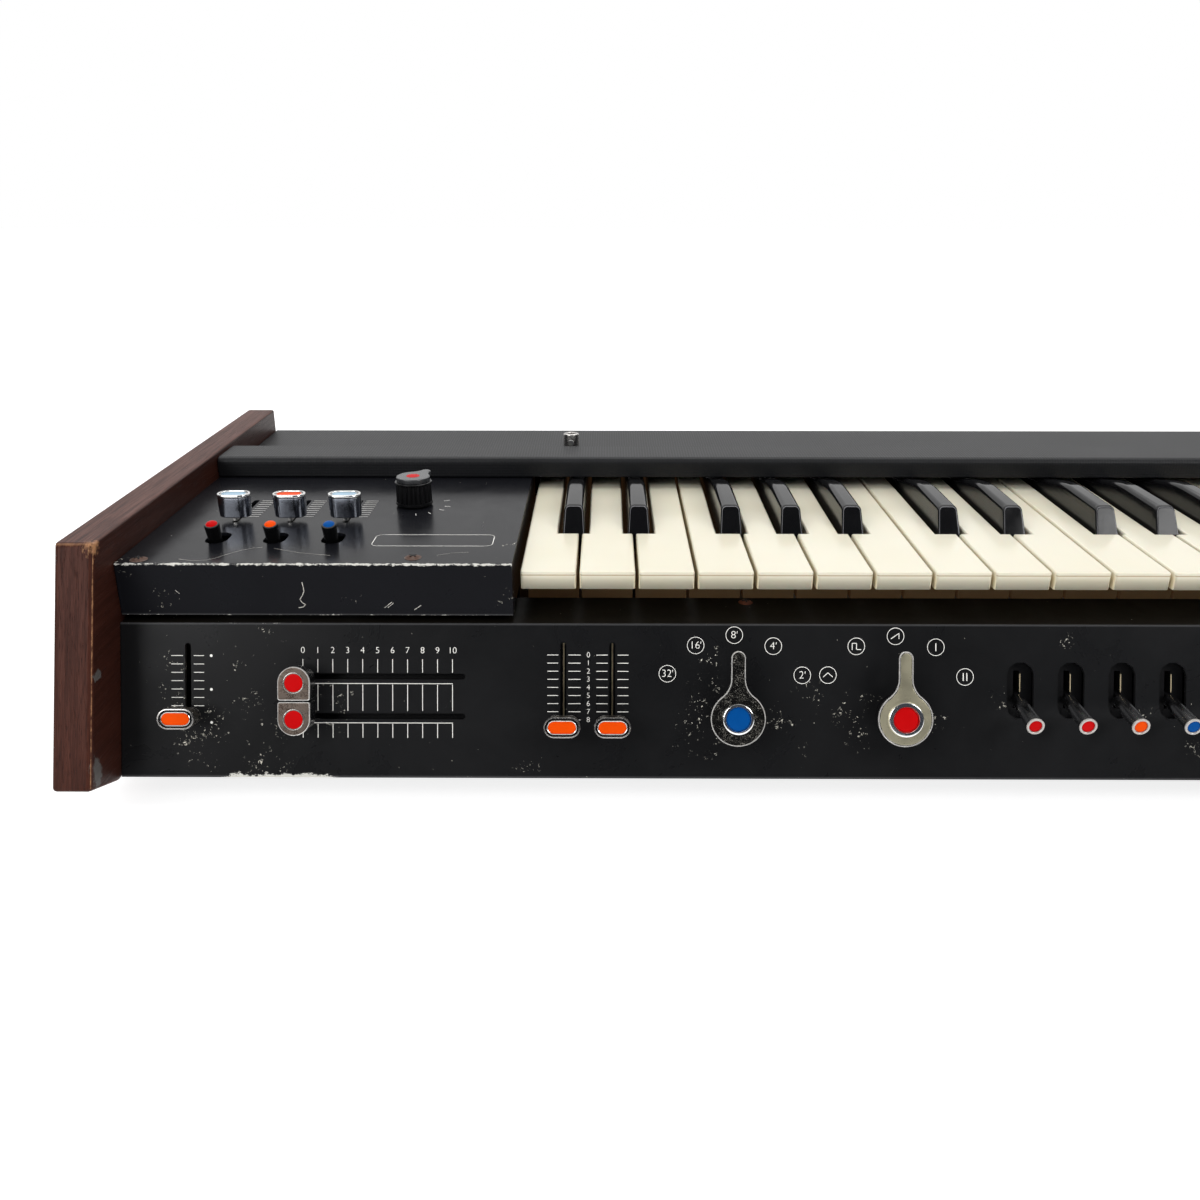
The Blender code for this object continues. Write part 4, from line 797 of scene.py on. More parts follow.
class Form:
    """One piece's mesh while it is being shaped."""

    def __init__(self) -> None:
        """Starts an empty mesh."""
        self.bm = bmesh.new()

    def ring(self, points: Iterable[Sequence[float]]) -> list[bmesh.types.BMVert]:
        """Adds a closed ring of points.

        Args:
            points: the ring's points, in order.

        Returns:
            Its corners.
        """
        verts = [self.bm.verts.new(point) for point in points]
        for first, second in zip(verts, verts[1:] + verts[:1]):
            self.bm.edges.new((first, second))
        return verts

    def loft(self, rings: Sequence[tuple[Sequence[Point], float]], closed: bool = True) -> "Form":
        """Joins flat outlines at several heights into one skin.

        Args:
            rings: each outline with its height, from one end to the other.
            closed: covers both ends.

        Returns:
            This form.
        """
        return self.skin([[(x, y, height) for x, y in outline] for outline, height in rings], closed)

    def skin(self, rings: Sequence[Sequence[Sequence[float]]], closed: bool = True) -> "Form":
        """Joins rings of points, all with the same number of them, into one skin.

        Args:
            rings: the rings, from one end to the other.
            closed: covers both ends.

        Returns:
            This form.
        """
        made = [self.ring(points) for points in rings]
        for lower, upper in zip(made, made[1:]):
            for place, corner in enumerate(lower):
                self.bm.faces.new((lower[place - 1], corner, upper[place], upper[place - 1]))
        if closed:
            for ring in (made[0], made[-1]):
                self.bm.faces.new(ring)
        bmesh.ops.recalc_face_normals(self.bm, faces=self.bm.faces)
        return self

    def lathe(self, profile: Sequence[Point], steps: int = 40) -> "Form":
        """Turns a profile of (radius, height) points about Z.

        Args:
            profile: the points, from one end to the other.
            steps: how many steps a turn takes.

        Returns:
            This form.
        """
        turned = bmesh.new()
        verts = [turned.verts.new((radius, 0.0, height)) for radius, height in profile]
        edges = [turned.edges.new(pair) for pair in zip(verts, verts[1:])]
        bmesh.ops.spin(turned, geom=verts + edges, cent=(0, 0, 0), axis=(0, 0, 1), angle=2 * math.pi,
                       steps=steps, use_merge=True)
        bmesh.ops.remove_doubles(turned, verts=turned.verts, dist=0.000002)
        bmesh.ops.recalc_face_normals(turned, faces=turned.faces)
        self.absorb(turned)
        return self

    def block(self, low: Sequence[float], high: Sequence[float]) -> "Form":
        """Adds a box.

        Args:
            low: its corner with the lowest coordinates.
            high: the opposite corner.

        Returns:
            This form.
        """
        size = Vector(high) - Vector(low)
        middle = (Vector(high) + Vector(low)) / 2
        bmesh.ops.create_cube(self.bm, size=1.0,
                              matrix=Matrix.Translation(middle) @ Matrix.Diagonal((*size, 1.0)))
        return self

    def absorb(self, other: bmesh.types.BMesh) -> None:
        """Takes another mesh in and frees it.

        Args:
            other: the mesh.
        """
        carrier = bpy.data.meshes.new("carrier")
        other.to_mesh(carrier)
        other.free()
        self.bm.from_mesh(carrier)
        bpy.data.meshes.remove(carrier)

    def join(self, other: "Form") -> "Form":
        """Takes another form in and returns this one."""
        self.absorb(other.bm)
        return self

    def creases(self, angle: float) -> list[bmesh.types.BMEdge]:
        """Finds the edges where two faces meet at more than an angle.

        Args:
            angle: the angle in degrees.

        Returns:
            The edges.
        """
        least = math.radians(angle)
        edges = [edge for edge in self.bm.edges if len(edge.link_faces) == 2]
        return [edge for edge in edges if edge.calc_face_angle(0.0) > least]

    def bevel(self, edges: Sequence[bmesh.types.BMEdge], width: float, segments: int) -> "Form":
        """Bevels some edges.

        Args:
            edges: the edges.
            width: the bevel's width.
            segments: its steps.

        Returns:
            This form.
        """
        bmesh.ops.bevel(self.bm, geom=edges, offset=width, segments=segments, profile=0.5, affect="EDGES",
                        material=-1, clamp_overlap=True)
        return self

    def soften(self, width: float, segments: int = 2, angle: float = 35.0) -> "Form":
        """Bevels the edges that are sharper than an angle.

        Args:
            width: the bevel's width.
            segments: its steps.
            angle: the least angle between two faces, in degrees.

        Returns:
            This form.
        """
        return self.bevel(self.creases(angle), width, segments)

    def place(self, matrix: Matrix) -> "Form":
        """Carries the mesh by a matrix and returns this form."""
        bmesh.ops.transform(self.bm, matrix=matrix, verts=self.bm.verts)
        return self


class Bench:
    """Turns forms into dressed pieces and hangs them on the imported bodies."""

    def __init__(self, frame: dict) -> None:
        """Keeps the frame.
        """
        self.frame = frame
        self.finishes: dict[str, bpy.types.Material] = {}
        self.count = 0

    def material(self, finish: object) -> bpy.types.Material:
        """Returns a finish's material, made once."""
        if finish.name not in self.finishes:
            self.finishes[finish.name] = finish.build()
        return self.finishes[finish.name]

    def add(self, name: str, form: Form, finish: object, body: str = "case", slot: str = "black_plastic",
            replaces: Sequence[str] = (), smooth: float = 40.0) -> bpy.types.Object:
        """Makes one piece.

        Args:
            name: the piece's name.
            form: its mesh.
            finish: what it is covered with.
            body: the body it rides on.
            slot: the record's material slot; not used.
            replaces: the CAD nodes it stands for.
            smooth: the angle in degrees under which faces are shaded as one.

        Returns:
            The object.
        """
        mesh = bpy.data.meshes.new(name)
        form.bm.to_mesh(mesh)
        form.bm.free()
        mesh.shade_smooth()
        mesh.set_sharp_from_angle(angle=math.radians(smooth))
        piece = bpy.data.objects.new(name, mesh)
        bpy.context.scene.collection.objects.link(piece)
        even = piece.modifiers.new("even_shading", "WEIGHTED_NORMAL")
        even.keep_sharp = True
        mesh.materials.append(self.material(finish))
        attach(piece, body)
        if replaces:
            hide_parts(*replaces)
        self.count += 1
        LOG.info("%s on %s", name, body)
        return piece

    def second(self, piece: bpy.types.Object, finish: object, facing: Sequence[float], least: float) -> None:
        """Gives the faces of a piece that face one way a finish of their own.

        Args:
            piece: the piece.
            finish: what those faces are covered with.
            facing: the direction.
            least: how nearly they face it, 1 being exactly.
        """
        piece.data.materials.append(self.material(finish))
        for face in piece.data.polygons:
            face.material_index = int(face.normal.dot(Vector(facing)) > least)

    def copied(self, node: str) -> Form:
        """Copies a CAD node's mesh.

        Args:
            node: the node's name.

        Returns:
            The welded copy, with its flat faces whole.
        """
        form = Form()
        form.bm.from_mesh(self.frame["nodes"][node].data)
        bmesh.ops.remove_doubles(form.bm, verts=form.bm.verts, dist=0.000004)
        bmesh.ops.dissolve_limit(form.bm, angle_limit=math.radians(0.6), verts=form.bm.verts,
                                 edges=form.bm.edges)
        return form

    def dress(self, node: str, finish: object) -> None:
        """Gives a CAD node a better material."""
        for place in self.frame["nodes"][node].material_slots:
            place.material = self.material(finish)
        LOG.info("%s dressed", node)


def panel_point(x: float, down: float) -> tuple[float, float, float]:
    """Returns a place on the sloped face in the object's frame."""
    return tuple(panel_matrix(x, down).translation)


BLACK = GlossFinish("glossy_black", (0.0030, 0.0030, 0.0033), rough=0.16, coat=0.0, gloss=0.30)
EBONY = GlossFinish("ebony_keys", (0.0040, 0.0040, 0.0046), rough=0.09, coat=0.0, gloss=0.30)
DULL_BLACK = GlossFinish("dull_black", (0.0042, 0.0042, 0.0047), rough=0.34, coat=0.0, gloss=0.14)
CHROME = ChromeFinish("old_chrome")
DARK_PLATE = ChromeFinish("dark_plate", pits=0.615, rough=0.22, colour=(0.050, 0.048, 0.044),
                          stain=(0.40, 0.38, 0.33), grain=3000.0)
PITTED = ChromeFinish("pitted_chrome", pits=0.47, rough=0.16, colour=(0.42, 0.395, 0.37))
BROWNISH = ChromeFinish("brownish_chrome", pits=0.50, rough=0.30, colour=(0.185, 0.148, 0.124),
                        stain=(0.07, 0.05, 0.04), grain=2400.0)
BRIGHT = ChromeFinish("bright_chrome", pits=0.70, rough=0.10, colour=(0.90, 0.90, 0.89))
SATIN = ChromeFinish("satin_grey", pits=0.66, rough=0.34, colour=(0.54, 0.50, 0.355),
                     stain=(0.26, 0.23, 0.16))
CAP_RIM = ChromeFinish("cap_rim", pits=0.62, rough=0.20, colour=(0.47, 0.455, 0.435))
THIN_EDGE = MetalFinish("thin_bright_edge", (0.72, 0.70, 0.67), (0.34, 0.31, 0.28), share=0.66, metallic=0.45,
                        rough=0.26)
LEVER_RING = MetalFinish("lever_ring", (0.47, 0.445, 0.42), (0.22, 0.19, 0.17), share=0.70, metallic=0.30,
                         rough=0.34)
LEVER_METAL = ChromeFinish("lever_metal", pits=0.78, rough=0.16, colour=(0.50, 0.50, 0.51))
# Lighter grey band round the sharps' sloped fronts: a painted highlight on their edges.
PAINTED_HIGHLIGHT_LINE = GlossFinish("polished_line", (0.13, 0.13, 0.14), rough=0.20, coat=0.0, gloss=0.6)
PALE_BRASS = MetalFinish("pale_brass", (0.80, 0.66, 0.42), (0.45, 0.34, 0.20), share=0.74, metallic=0.20,
                         rough=0.36)
DARK_CHROME = ChromeFinish("dark_chrome", pits=0.74, rough=0.20, colour=(0.30, 0.30, 0.31))
SMOOTH_CHROME = ChromeFinish("smooth_chrome", pits=0.80, rough=0.13, colour=(0.46, 0.49, 0.56))
GREY_PLATE = GlossFinish("grey_plate", (0.030, 0.031, 0.033), rough=0.24, coat=0.2)
RUST = MetalFinish("rusty_screw", (0.11, 0.085, 0.07), (0.075, 0.032, 0.018), share=0.46, metallic=0.6)
RED_RUST = MetalFinish("reddish_screw", (0.24, 0.075, 0.035), (0.12, 0.035, 0.018), share=0.50)
SCRATCH = MetalFinish("bare_scratch", (0.62, 0.60, 0.54), (0.16, 0.16, 0.15), share=0.66, metallic=0.1)
STEEL = MetalFinish("plated_steel", (0.42, 0.42, 0.41), (0.30, 0.27, 0.22), share=0.66, rough=0.34)
ZINC = MetalFinish("socket_plate", (0.55, 0.55, 0.54), (0.32, 0.30, 0.26), share=0.64, rough=0.25)
INKS = {
    ink: GlossFinish("insert_" + ink.name.lower(), ink.value, rough=0.34, coat=0.0, gloss=0.04) for ink in Ink
}


@dataclass
class Case:
    """The wooden cheeks, the folded panels, the pan, the rear cover and what is fixed to them."""

    bench: Bench
    fold: float = 0.0004
    cheek_edge: float = 0.0007
    effects_chips: tuple[tuple[Sequence[float], float], ...] = (
        ((-0.352, -0.088, EFFECTS_TOP), 0.007),
        ((-0.199, -0.070, EFFECTS_TOP), 0.006),
        ((-0.262, -0.092, 0.080), 0.004),
        ((-0.335, -0.092, 0.0815), 0.006),
        ((-0.199, -0.092, 0.079), 0.006),
    )
    face_chips: tuple[tuple[float, float, float], ...] = (
        (-0.1216, 0.0139, 0.006), (-0.1208, 0.0241, 0.006), (-0.1255, 0.0317, 0.009),
        (-0.1255, 0.0416, 0.010), (-0.0935, 0.0384, 0.007), (-0.0809, 0.0281, 0.007),
        (-0.0607, 0.0301, 0.008), (-0.0642, 0.0360, 0.008), (-0.0614, 0.0444, 0.006),
        (-0.0314, 0.0384, 0.006), (-0.0827, 0.0499, 0.004), (-0.1187, 0.0527, 0.004),
        (-0.3341, 0.0178, 0.007), (-0.3353, 0.0261, 0.008), (-0.3322, 0.0321, 0.007),
        (-0.3189, 0.0392, 0.009), (-0.3260, 0.0452, 0.008), (-0.3214, 0.0551, 0.006),
        (-0.2936, 0.0010, 0.008), (-0.2952, 0.0464, 0.008), (-0.2953, 0.0563, 0.010),
        (-0.2710, 0.0305, 0.009), (-0.2702, 0.0380, 0.008), (-0.3068, 0.0143, 0.006),
        (-0.3034, 0.0317, 0.006), (-0.1931, 0.0571, 0.005), (0.0201, 0.0071, 0.004), (-0.0046, 0.0289, 0.005),
        (0.0508, 0.0368, 0.005), (0.0716, 0.0491, 0.005),
    )
    foot_down: float = 0.0610
    lever_slot: tuple[float, float] = (0.0083, 0.0210)
    slot_gain: tuple[float, float] = (0.0023, 0.0016)

    def cheeks(self) -> None:
        """Makes the two wooden cheeks."""
        for side in ("left", "right"):
            form = self.bench.copied(side + "_cheek").soften(self.cheek_edge, 2, 20.0)
            self.bench.add(side + "_cheek_wood", form, WoodFinish(), slot="cheek_wood",
                           replaces=[side + "_cheek"])

    def panels(self) -> None:
        """Makes the sloped front panel and the two raised boxes."""
        clusters = tuple((panel_point(x, down), reach) for x, down, reach in self.face_chips)
        foot = panel_point(0.0, self.foot_down)
        edges = (
            WornLine(PANEL_TOP_Y, PANEL_TOP_Z, 0.0012, 0.62, -0.311, -0.290, 0.65),
            WornLine(foot[1], foot[2], 0.0042, 0.92, -0.309, -0.274, 0.36),
        )
        face = PaintFinish("front_paint", clusters, edges, colour=(0.0066, 0.0067, 0.0072))
        # Painted shade: the level ledge under the keys' lips is darker and browner than the rest of the
        # panel.
        ledge = PaintFinish("ledge_painted_shade", (), edges, colour=(0.0045, 0.0036, 0.0026), rough=0.45, gloss=0.06)
        form = self.widened(self.bench.copied("front_panel")).soften(self.fold, 2)
        sheet = self.bench.add("front_panel_sheet", form, face, slot="black_paint", replaces=["front_panel"])
        self.bench.second(sheet, ledge, (0.0, 0.0, 1.0), 0.98)
        edges = (
            WornLine(EFFECTS_FRONT, EFFECTS_TOP, 0.0021, 0.97, *EFFECTS_ENDS, 0.80),
            WornLine(EFFECTS_FRONT, 0.0731, 0.0014, 0.64, *EFFECTS_ENDS, 0.75),
        )
        top = PaintFinish("effects_paint", self.effects_chips, edges, rough=0.21, gloss=0.14)
        upright = PaintFinish("effects_front_paint", self.effects_chips, edges, gloss=0.05)
        form = self.bench.copied("effects_panel").soften(self.fold, 2)
        box = self.bench.add("effects_panel_sheet", form, top, slot="black_paint", replaces=["effects_panel"])
        self.bench.second(box, upright, (0.0, -1.0, 0.0), 0.5)
        form = self.bench.copied("right_end_block").soften(self.fold, 2)
        self.bench.add("right_end_block_sheet", form, top, slot="black_paint", replaces=["right_end_block"])

    def widened(self, form: Form) -> Form:
        """Makes the lever slots a little wider and longer, as the photograph shows them.

        Args:
            form: the front panel's mesh.

        Returns:
            The same form.
        """
        width, length = self.lever_slot
        near, deep = 0.0004, 0.004
        wider, longer = ((size + gain) / size for size, gain in zip((width, width), self.slot_gain))
        straight = (length - width) / 2
        panel = panel_matrix(0.0, LEVER_DOWN)
        to_panel = panel.inverted()
        for vert in form.bm.verts:
            place = to_panel @ vert.co
            x = min(LEVER_XS, key=lambda middle: abs(middle - place.x))
            outside = abs(place.x - x) > width / 2 + near or abs(place.y) > length / 2 + near
            if outside or abs(place.z) > deep:
                continue
            place.x = x + (place.x - x) * wider
            place.y += math.copysign(max(0.0, abs(place.y) - straight) * (longer - 1.0), place.y)
            vert.co = panel @ place
        return form

    def cover(self) -> None:
        """Makes the vinyl-covered strip and deck over the rear of the keys."""
        form = self.bench.copied("rear_cover").soften(0.0005, 2)
        self.bench.add("rear_cover_skin", form, VinylFinish(), slot="black_vinyl", replaces=["rear_cover"])

    def hidden(self) -> None:
        """Dresses the pan, the boards and the sockets."""
        pan = PaintFinish("pan_paint", (), (WornLine(0.137, 0.0135, 0.002, 0.6),), rough=0.42)
        self.bench.dress("bottom_pan", pan)
        self.bench.dress("rear_sockets", ZINC)
        self.bench.dress("control_board", DULL_BLACK)
        self.bench.dress("effects_board", DULL_BLACK)

    def build(self) -> None:
        """Makes all of the case."""
        self.cheeks()
        self.panels()
        self.cover()
        self.hidden()


@dataclass
class StandPost:
    """A chrome post for a music stand, with a flange, a bore and a small set screw."""

    bench: Bench
    x: float
    name: str
    y: float = 0.070
    foot: float = 0.0954
    radius: float = 0.004
    height: float = 0.0138
    bore: float = 0.0022
    flange: float = 0.0052

    def build(self) -> None:
        """Makes the post."""
        top = self.height
        profile = [
            (self.flange, 0.0), (self.flange, 0.0008), (self.flange - 0.0004, 0.0012), (self.radius, 0.0013),
            (self.radius, top - 0.0007), (self.radius - 0.0002, top - 0.0002), (self.radius - 0.0007, top),
            (self.bore + 0.0005, top), (self.bore, top - 0.0005), (self.bore, top - 0.009),
            (0.0, top - 0.009),
        ]
        form = Form().lathe([(0.0, 0.0)] + profile, 36)
        form.place(Matrix.Translation((self.x, self.y, self.foot)))
        self.bench.add(self.name + "_turned", form, CAP_RIM, slot="chrome", replaces=[self.name])
        head = [(0.0, 0.0), (0.0016, 0.0), (0.0016, 0.0006), (0.0014, 0.0008), (0.0, 0.0008)]
        screw = Form().lathe(head, 24)
        turn = Matrix.Rotation(math.pi / 2, 4, "X")
        screw.place(Matrix.Translation((self.x, self.y - self.radius + 0.0002, self.foot + 0.0096)) @ turn)
        self.bench.add(self.name + "_set_screw", screw, STEEL, slot="chrome")


class Key(Enum):
    """The two kinds of key."""

    NATURAL = "ivory_plastic"
    SHARP = "ebony_plastic"


@dataclass
class Keyboard:
    """Twenty-four hinged keys, the thirteen highest keys, and the frame beneath."""

    bench: Bench
    pitch: float = 0.0235
    left: float = -0.1964
    fixed_from: int = 14
    sharp_half: float = 0.0049
    edge: float = 0.0008
    corner: float = 0.0013
    front: float = -0.0865
    top: float = 0.0896
    foot: float = 0.0886
    shoulder: float = 0.0024
    taper: float = 0.0476
    heel: float = -0.03475
    sole: float = 0.08984
    slope: float = 0.754
    stations: tuple[Point, ...] = (
        (-0.0262, 0.0996), (0.0040, 0.0996), (0.0104, 0.09915), (0.0168, 0.0983), (0.0232, 0.0971),
        (0.0298, 0.09565), (0.0400, 0.0937), (0.0520, 0.0920), (0.1200, 0.0920),
    )
    leans: dict[int, float] = field(
        default_factory=lambda: {0: -0.0030, 1: 0.0020, 3: -0.0045, 4: -0.0015, 5: 0.0018})

    def rounded(self, form: Form, width: float, segments: int,
                chosen: Callable[[bmesh.types.BMEdge], bool]) -> None:
        """Bevels the chosen edges between two faces that meet at an angle.

        Args:
            form: the key's mesh.
            width: the bevel's width.
            segments: its steps.
            chosen: says which of the edges are bevelled.
        """
        form.bevel([edge for edge in form.creases(20.0) if chosen(edge)], width, segments)

    def natural(self, form: Form) -> Form:
        """Rounds a natural's corners at the front and softens its upper edges.

        Args:
            form: the natural's mesh.

        Returns:
            The same form.
        """
        for vert in form.bm.verts:
            if vert.co.y < self.front + 0.0015 and vert.co.z > self.top - 0.0015:
                vert.co.y, vert.co.z = self.front, self.top
        bmesh.ops.remove_doubles(form.bm, verts=form.bm.verts, dist=0.00001)
        bmesh.ops.dissolve_limit(form.bm, angle_limit=math.radians(1.0), verts=form.bm.verts,
                                 edges=form.bm.edges)
        self.rounded(form, self.corner, 4,
                     lambda edge: all(vert.co.y < self.front + 0.0008 for vert in edge.verts)
                     and abs(edge.verts[0].co.z - edge.verts[1].co.z) > 0.002)
        self.rounded(form, self.edge, 3,
                     lambda edge: all(vert.co.z > self.top - 0.0002 for vert in edge.verts))
        return form

    def cut(self, form: Form) -> Form:
        """Takes away what stands above the sharps' foot.

        Args:
            form: the mesh of one sharp or more.

        Returns:
            The same form.
        """
        geometry = [*form.bm.verts, *form.bm.edges, *form.bm.faces]
        bmesh.ops.bisect_plane(form.bm, geom=geometry, plane_co=(0, 0, self.foot), plane_no=(0, 0, 1),
                               clear_outer=True)
        return form

    def across(self, top: float, less: float = 0.0) -> list[Point]:
        """Outlines a sharp across the key: slanted sides, round shoulders, flat top.

        Args:
            top: the outline's height.
            less: how far it is drawn in.

        Returns:
            The points, from the foot at the right to the foot at the left.
        """
        half = self.sharp_half - (top - 0.087) * self.taper - less
        radius = self.shoulder - less
        right = [(self.sharp_half - less, self.foot - 0.0001)]
        right += arc((half - radius, top - less - radius), radius, 0.0, math.pi / 2, 7)
        return right + [(-x, z) for x, z in reversed(right)]

    def crown(self, x: float) -> Form:
        """Makes a sharp's upper part: a crowned bar cut by its sloped front, with a fine edge round the cut.

        Args:
            x: the sharp's middle.

        Returns:
            The form.
        """
        peak = self.stations[0][1]
        rings = []
        for less, behind in ((0.0010, 0.0), (0.00055, 0.00008), (0.00018, 0.00035), (0.0, 0.0008)):
            rings.append([(x + across, self.heel + max(0.0, z - self.sole) * self.slope + behind, z)
                          for across, z in self.across(peak, less)])
        for y, top in self.stations:
            rings.append([(x + across, y, z) for across, z in self.across(top)])
        return Form().skin(rings)

    def arch(self, x: float) -> Form:
        """Makes a thin grey band round a sharp's sloped front: a painted highlight on its edge.

        Args:
            x: the sharp's middle.

        Returns:
            The form.
        """
        peak = self.stations[0][1]
        rings = []
        for less, out in ((0.00050, 0.0), (0.00054, 0.00007), (0.00072, 0.00009), (0.00076, 0.0)):
            rings.append([(x + across, self.heel + max(0.0, z - self.sole) * self.slope - out, z)
                          for across, z in self.across(peak, less)])
        return Form().skin(rings, closed=False)

    def hinged(self) -> None:
        """Makes the keys that move."""
        for node, plain in self.bench.frame["nodes"].items():
            if not node.startswith("key_") or node == "key_frame":
                continue
            kind = Key.SHARP if "sharp" in node else Key.NATURAL
            form = self.bench.copied(node)
            if kind is Key.NATURAL:
                form = self.natural(form)
                self.bench.add(node + "_moulding", form, IvoryFinish(), node, kind.value, [node])
                continue
            xs = [vert.co.x for vert in plain.data.vertices]
            self.bench.add(node + "_body", self.cut(form), EBONY, node, kind.value, [node])
            middle = (min(xs) + max(xs)) / 2
            self.bench.add(node + "_crown", self.crown(middle), EBONY, node, kind.value)
            # Painted highlight round the sloped front.
            self.bench.add(node + "_arch", self.arch(middle), PAINTED_HIGHLIGHT_LINE, node, kind.value)

    def region(self, face: bmesh.types.BMFace) -> str:
        """Says what a face of the key frame's node belongs to.

        Args:
            face: the face.

        Returns:
            One of metal, natural and sharp.
        """
        middle = face.calc_center_median()
        start = self.left + self.fixed_from * self.pitch
        if middle.x < start - 0.0002 or middle.z < 0.0618:
            return "metal"
        for place, lean in self.leans.items():
            centre = start + (place + 1) * self.pitch + lean
            near = all(abs(vert.co.x - centre) < self.sharp_half + 0.0002 for vert in face.verts)
            if near and middle.y > -0.0365:
                return "sharp"
        return "natural"

    def fixed(self) -> None:
        """Makes the frame and the highest keys, which stay still."""
        for region, name, finish, slot in (
            ("metal", "key_frame_metal", STEEL, "frame_steel"),
            ("natural", "top_naturals", IvoryFinish(), Key.NATURAL.value),
            ("sharp", "top_sharp_bodies", EBONY, Key.SHARP.value),
        ):
            form = self.bench.copied("key_frame")
            other = [face for face in form.bm.faces if self.region(face) != region]
            bmesh.ops.delete(form.bm, geom=other, context="FACES")
            if region != "metal":
                form = self.natural(form) if region == "natural" else self.cut(form)
            self.bench.add(name, form, finish, slot=slot, replaces=["key_frame"])
        crowns, arches = Form(), Form()
        start = self.left + self.fixed_from * self.pitch
        for place, lean in self.leans.items():
            crowns.join(self.crown(start + (place + 1) * self.pitch + lean))
            arches.join(self.arch(start + (place + 1) * self.pitch + lean))
        self.bench.add("top_sharp_crowns", crowns, EBONY, slot=Key.SHARP.value)
        # Painted highlights round the sloped fronts of the highest sharps.
        self.bench.add("top_sharp_arches", arches, PAINTED_HIGHLIGHT_LINE, slot=Key.SHARP.value)

    def build(self) -> None:
        """Makes all of the keyboard."""
        self.hinged()
        self.fixed()


@dataclass
class Control:
    """A control that moves on its own body."""

    bench: Bench
    node: str

    def fit(self, part: str, form: Form, place: Matrix, finish: object, slot: str = "chrome",
            replaces: Sequence[str] = (), smooth: float = 40.0) -> None:
        """Sets one piece of the control in its place and hangs it on the control's body.

        Args:
            part: what the piece's name ends with.
            form: its mesh, round the control's own middle.
            place: the control's place.
            finish: what the piece is covered with.
            slot: the record's material slot, passed on to the bench, which does not use it.
            replaces: the CAD nodes it stands for.
            smooth: the angle in degrees under which faces are shaded as one.
        """
        self.bench.add(f"{self.node}_{part}", form.place(place), finish, self.node, slot, replaces, smooth)

    def outline(self, less: float) -> list[Point]:
        """Returns the control's outline drawn in by a distance, in each kind of cap's own way."""
        raise NotImplementedError

    def stacked(self, *levels: Point) -> Form:
        """Lofts the control's own outline.

        Args:
            levels: how far the outline is drawn in and at what height, from one end to the other.

        Returns:
            The form.
        """
        return Form().loft([(self.outline(less), height) for less, height in levels])

    def pot_shaft(self, place: Matrix, top: float) -> None:
        """Makes the shaft that carries a turned control through the panel.

        Args:
            place: the control's place.
            top: the shaft's upper end.
        """
        foot, radius = -0.0057, 0.0030
        shaft = Form().lathe([(0.0, foot), (radius, foot), (radius, top), (0.0, top)], 24)
        self.fit("shaft", shaft, place, STEEL)


@dataclass
class SliderCap(Control):
    """A chrome slider cap with round ends, a fine groove inside its rim and a flat coloured insert."""

    place: Matrix
    ink: Ink
    width: float = 0.0144
    length: float = 0.0083
    back: float = 0.0045
    face: float = 0.0140
    flare: float = 0.0004
    side: object = PITTED
    rim: float = 0.0008
    inset: float = 0.0018
    sink: float = 0.0002
    border: object = CAP_RIM
    reach: float = 0.0047

    def outline(self, less: float) -> list[Point]:
        """Returns the cap's outline drawn in by a distance."""
        return stadium(self.width - 2 * less, self.length - 2 * less)

    def build(self) -> None:
        """Makes the cap, its rim, its groove, its insert and its stem."""
        top = self.face
        low = self.flare
        inner = self.rim
        body = self.stacked(
            (low + 0.0006, self.back), (low + 0.0001, self.back + 0.0004), (low * 0.5, (self.back + top) / 2),
            (0.00015, top - 0.0016), (0.00025, top - 0.0012),
        )
        self.fit("body", body, self.place, self.side, "chrome", [self.node])
        rim = self.stacked(
            (0.00030, top - 0.0015), (0.00005, top - 0.0012), (0.0, top - 0.0008), (0.00006, top - 0.0003),
            (0.00025, top - 0.00005), (inner - 0.00015, top), (inner, top - 0.0002),
            (inner + 0.00005, top - 0.0010),
        )
        self.fit("rim", rim, self.place, self.border)
        groove = self.stacked(
            (inner - 0.0001, top - 0.0009), (inner - 0.0001, top - 0.0006), (self.inset, top - 0.0006),
        )
        self.fit("groove", groove, self.place, DULL_BLACK, "black_plastic")
        lip = self.stacked(
            (self.inset - 0.00035, top - 0.0007), (self.inset - 0.00035, top - 0.00020),
            (self.inset - 0.00020, top - 0.00010), (self.inset - 0.00002, top - 0.00020),
            (self.inset, top - 0.0007),
        )
        self.fit("lip", lip, self.place, CHROME)
        level = top - self.sink
        insert = self.stacked(
            (self.inset, level - 0.0006), (self.inset, level - 0.0002),
            (self.inset + 0.0002, level - 0.00005), (self.inset + 0.0008, level),
        )
        self.fit("insert", insert, self.place, INKS[self.ink], "black_plastic")
        stem = Form().block((-0.00085, -0.00225, -self.reach), (0.00085, 0.00225, self.back + 0.0003))
        self.fit("stem", stem.soften(0.0002), self.place, CHROME)


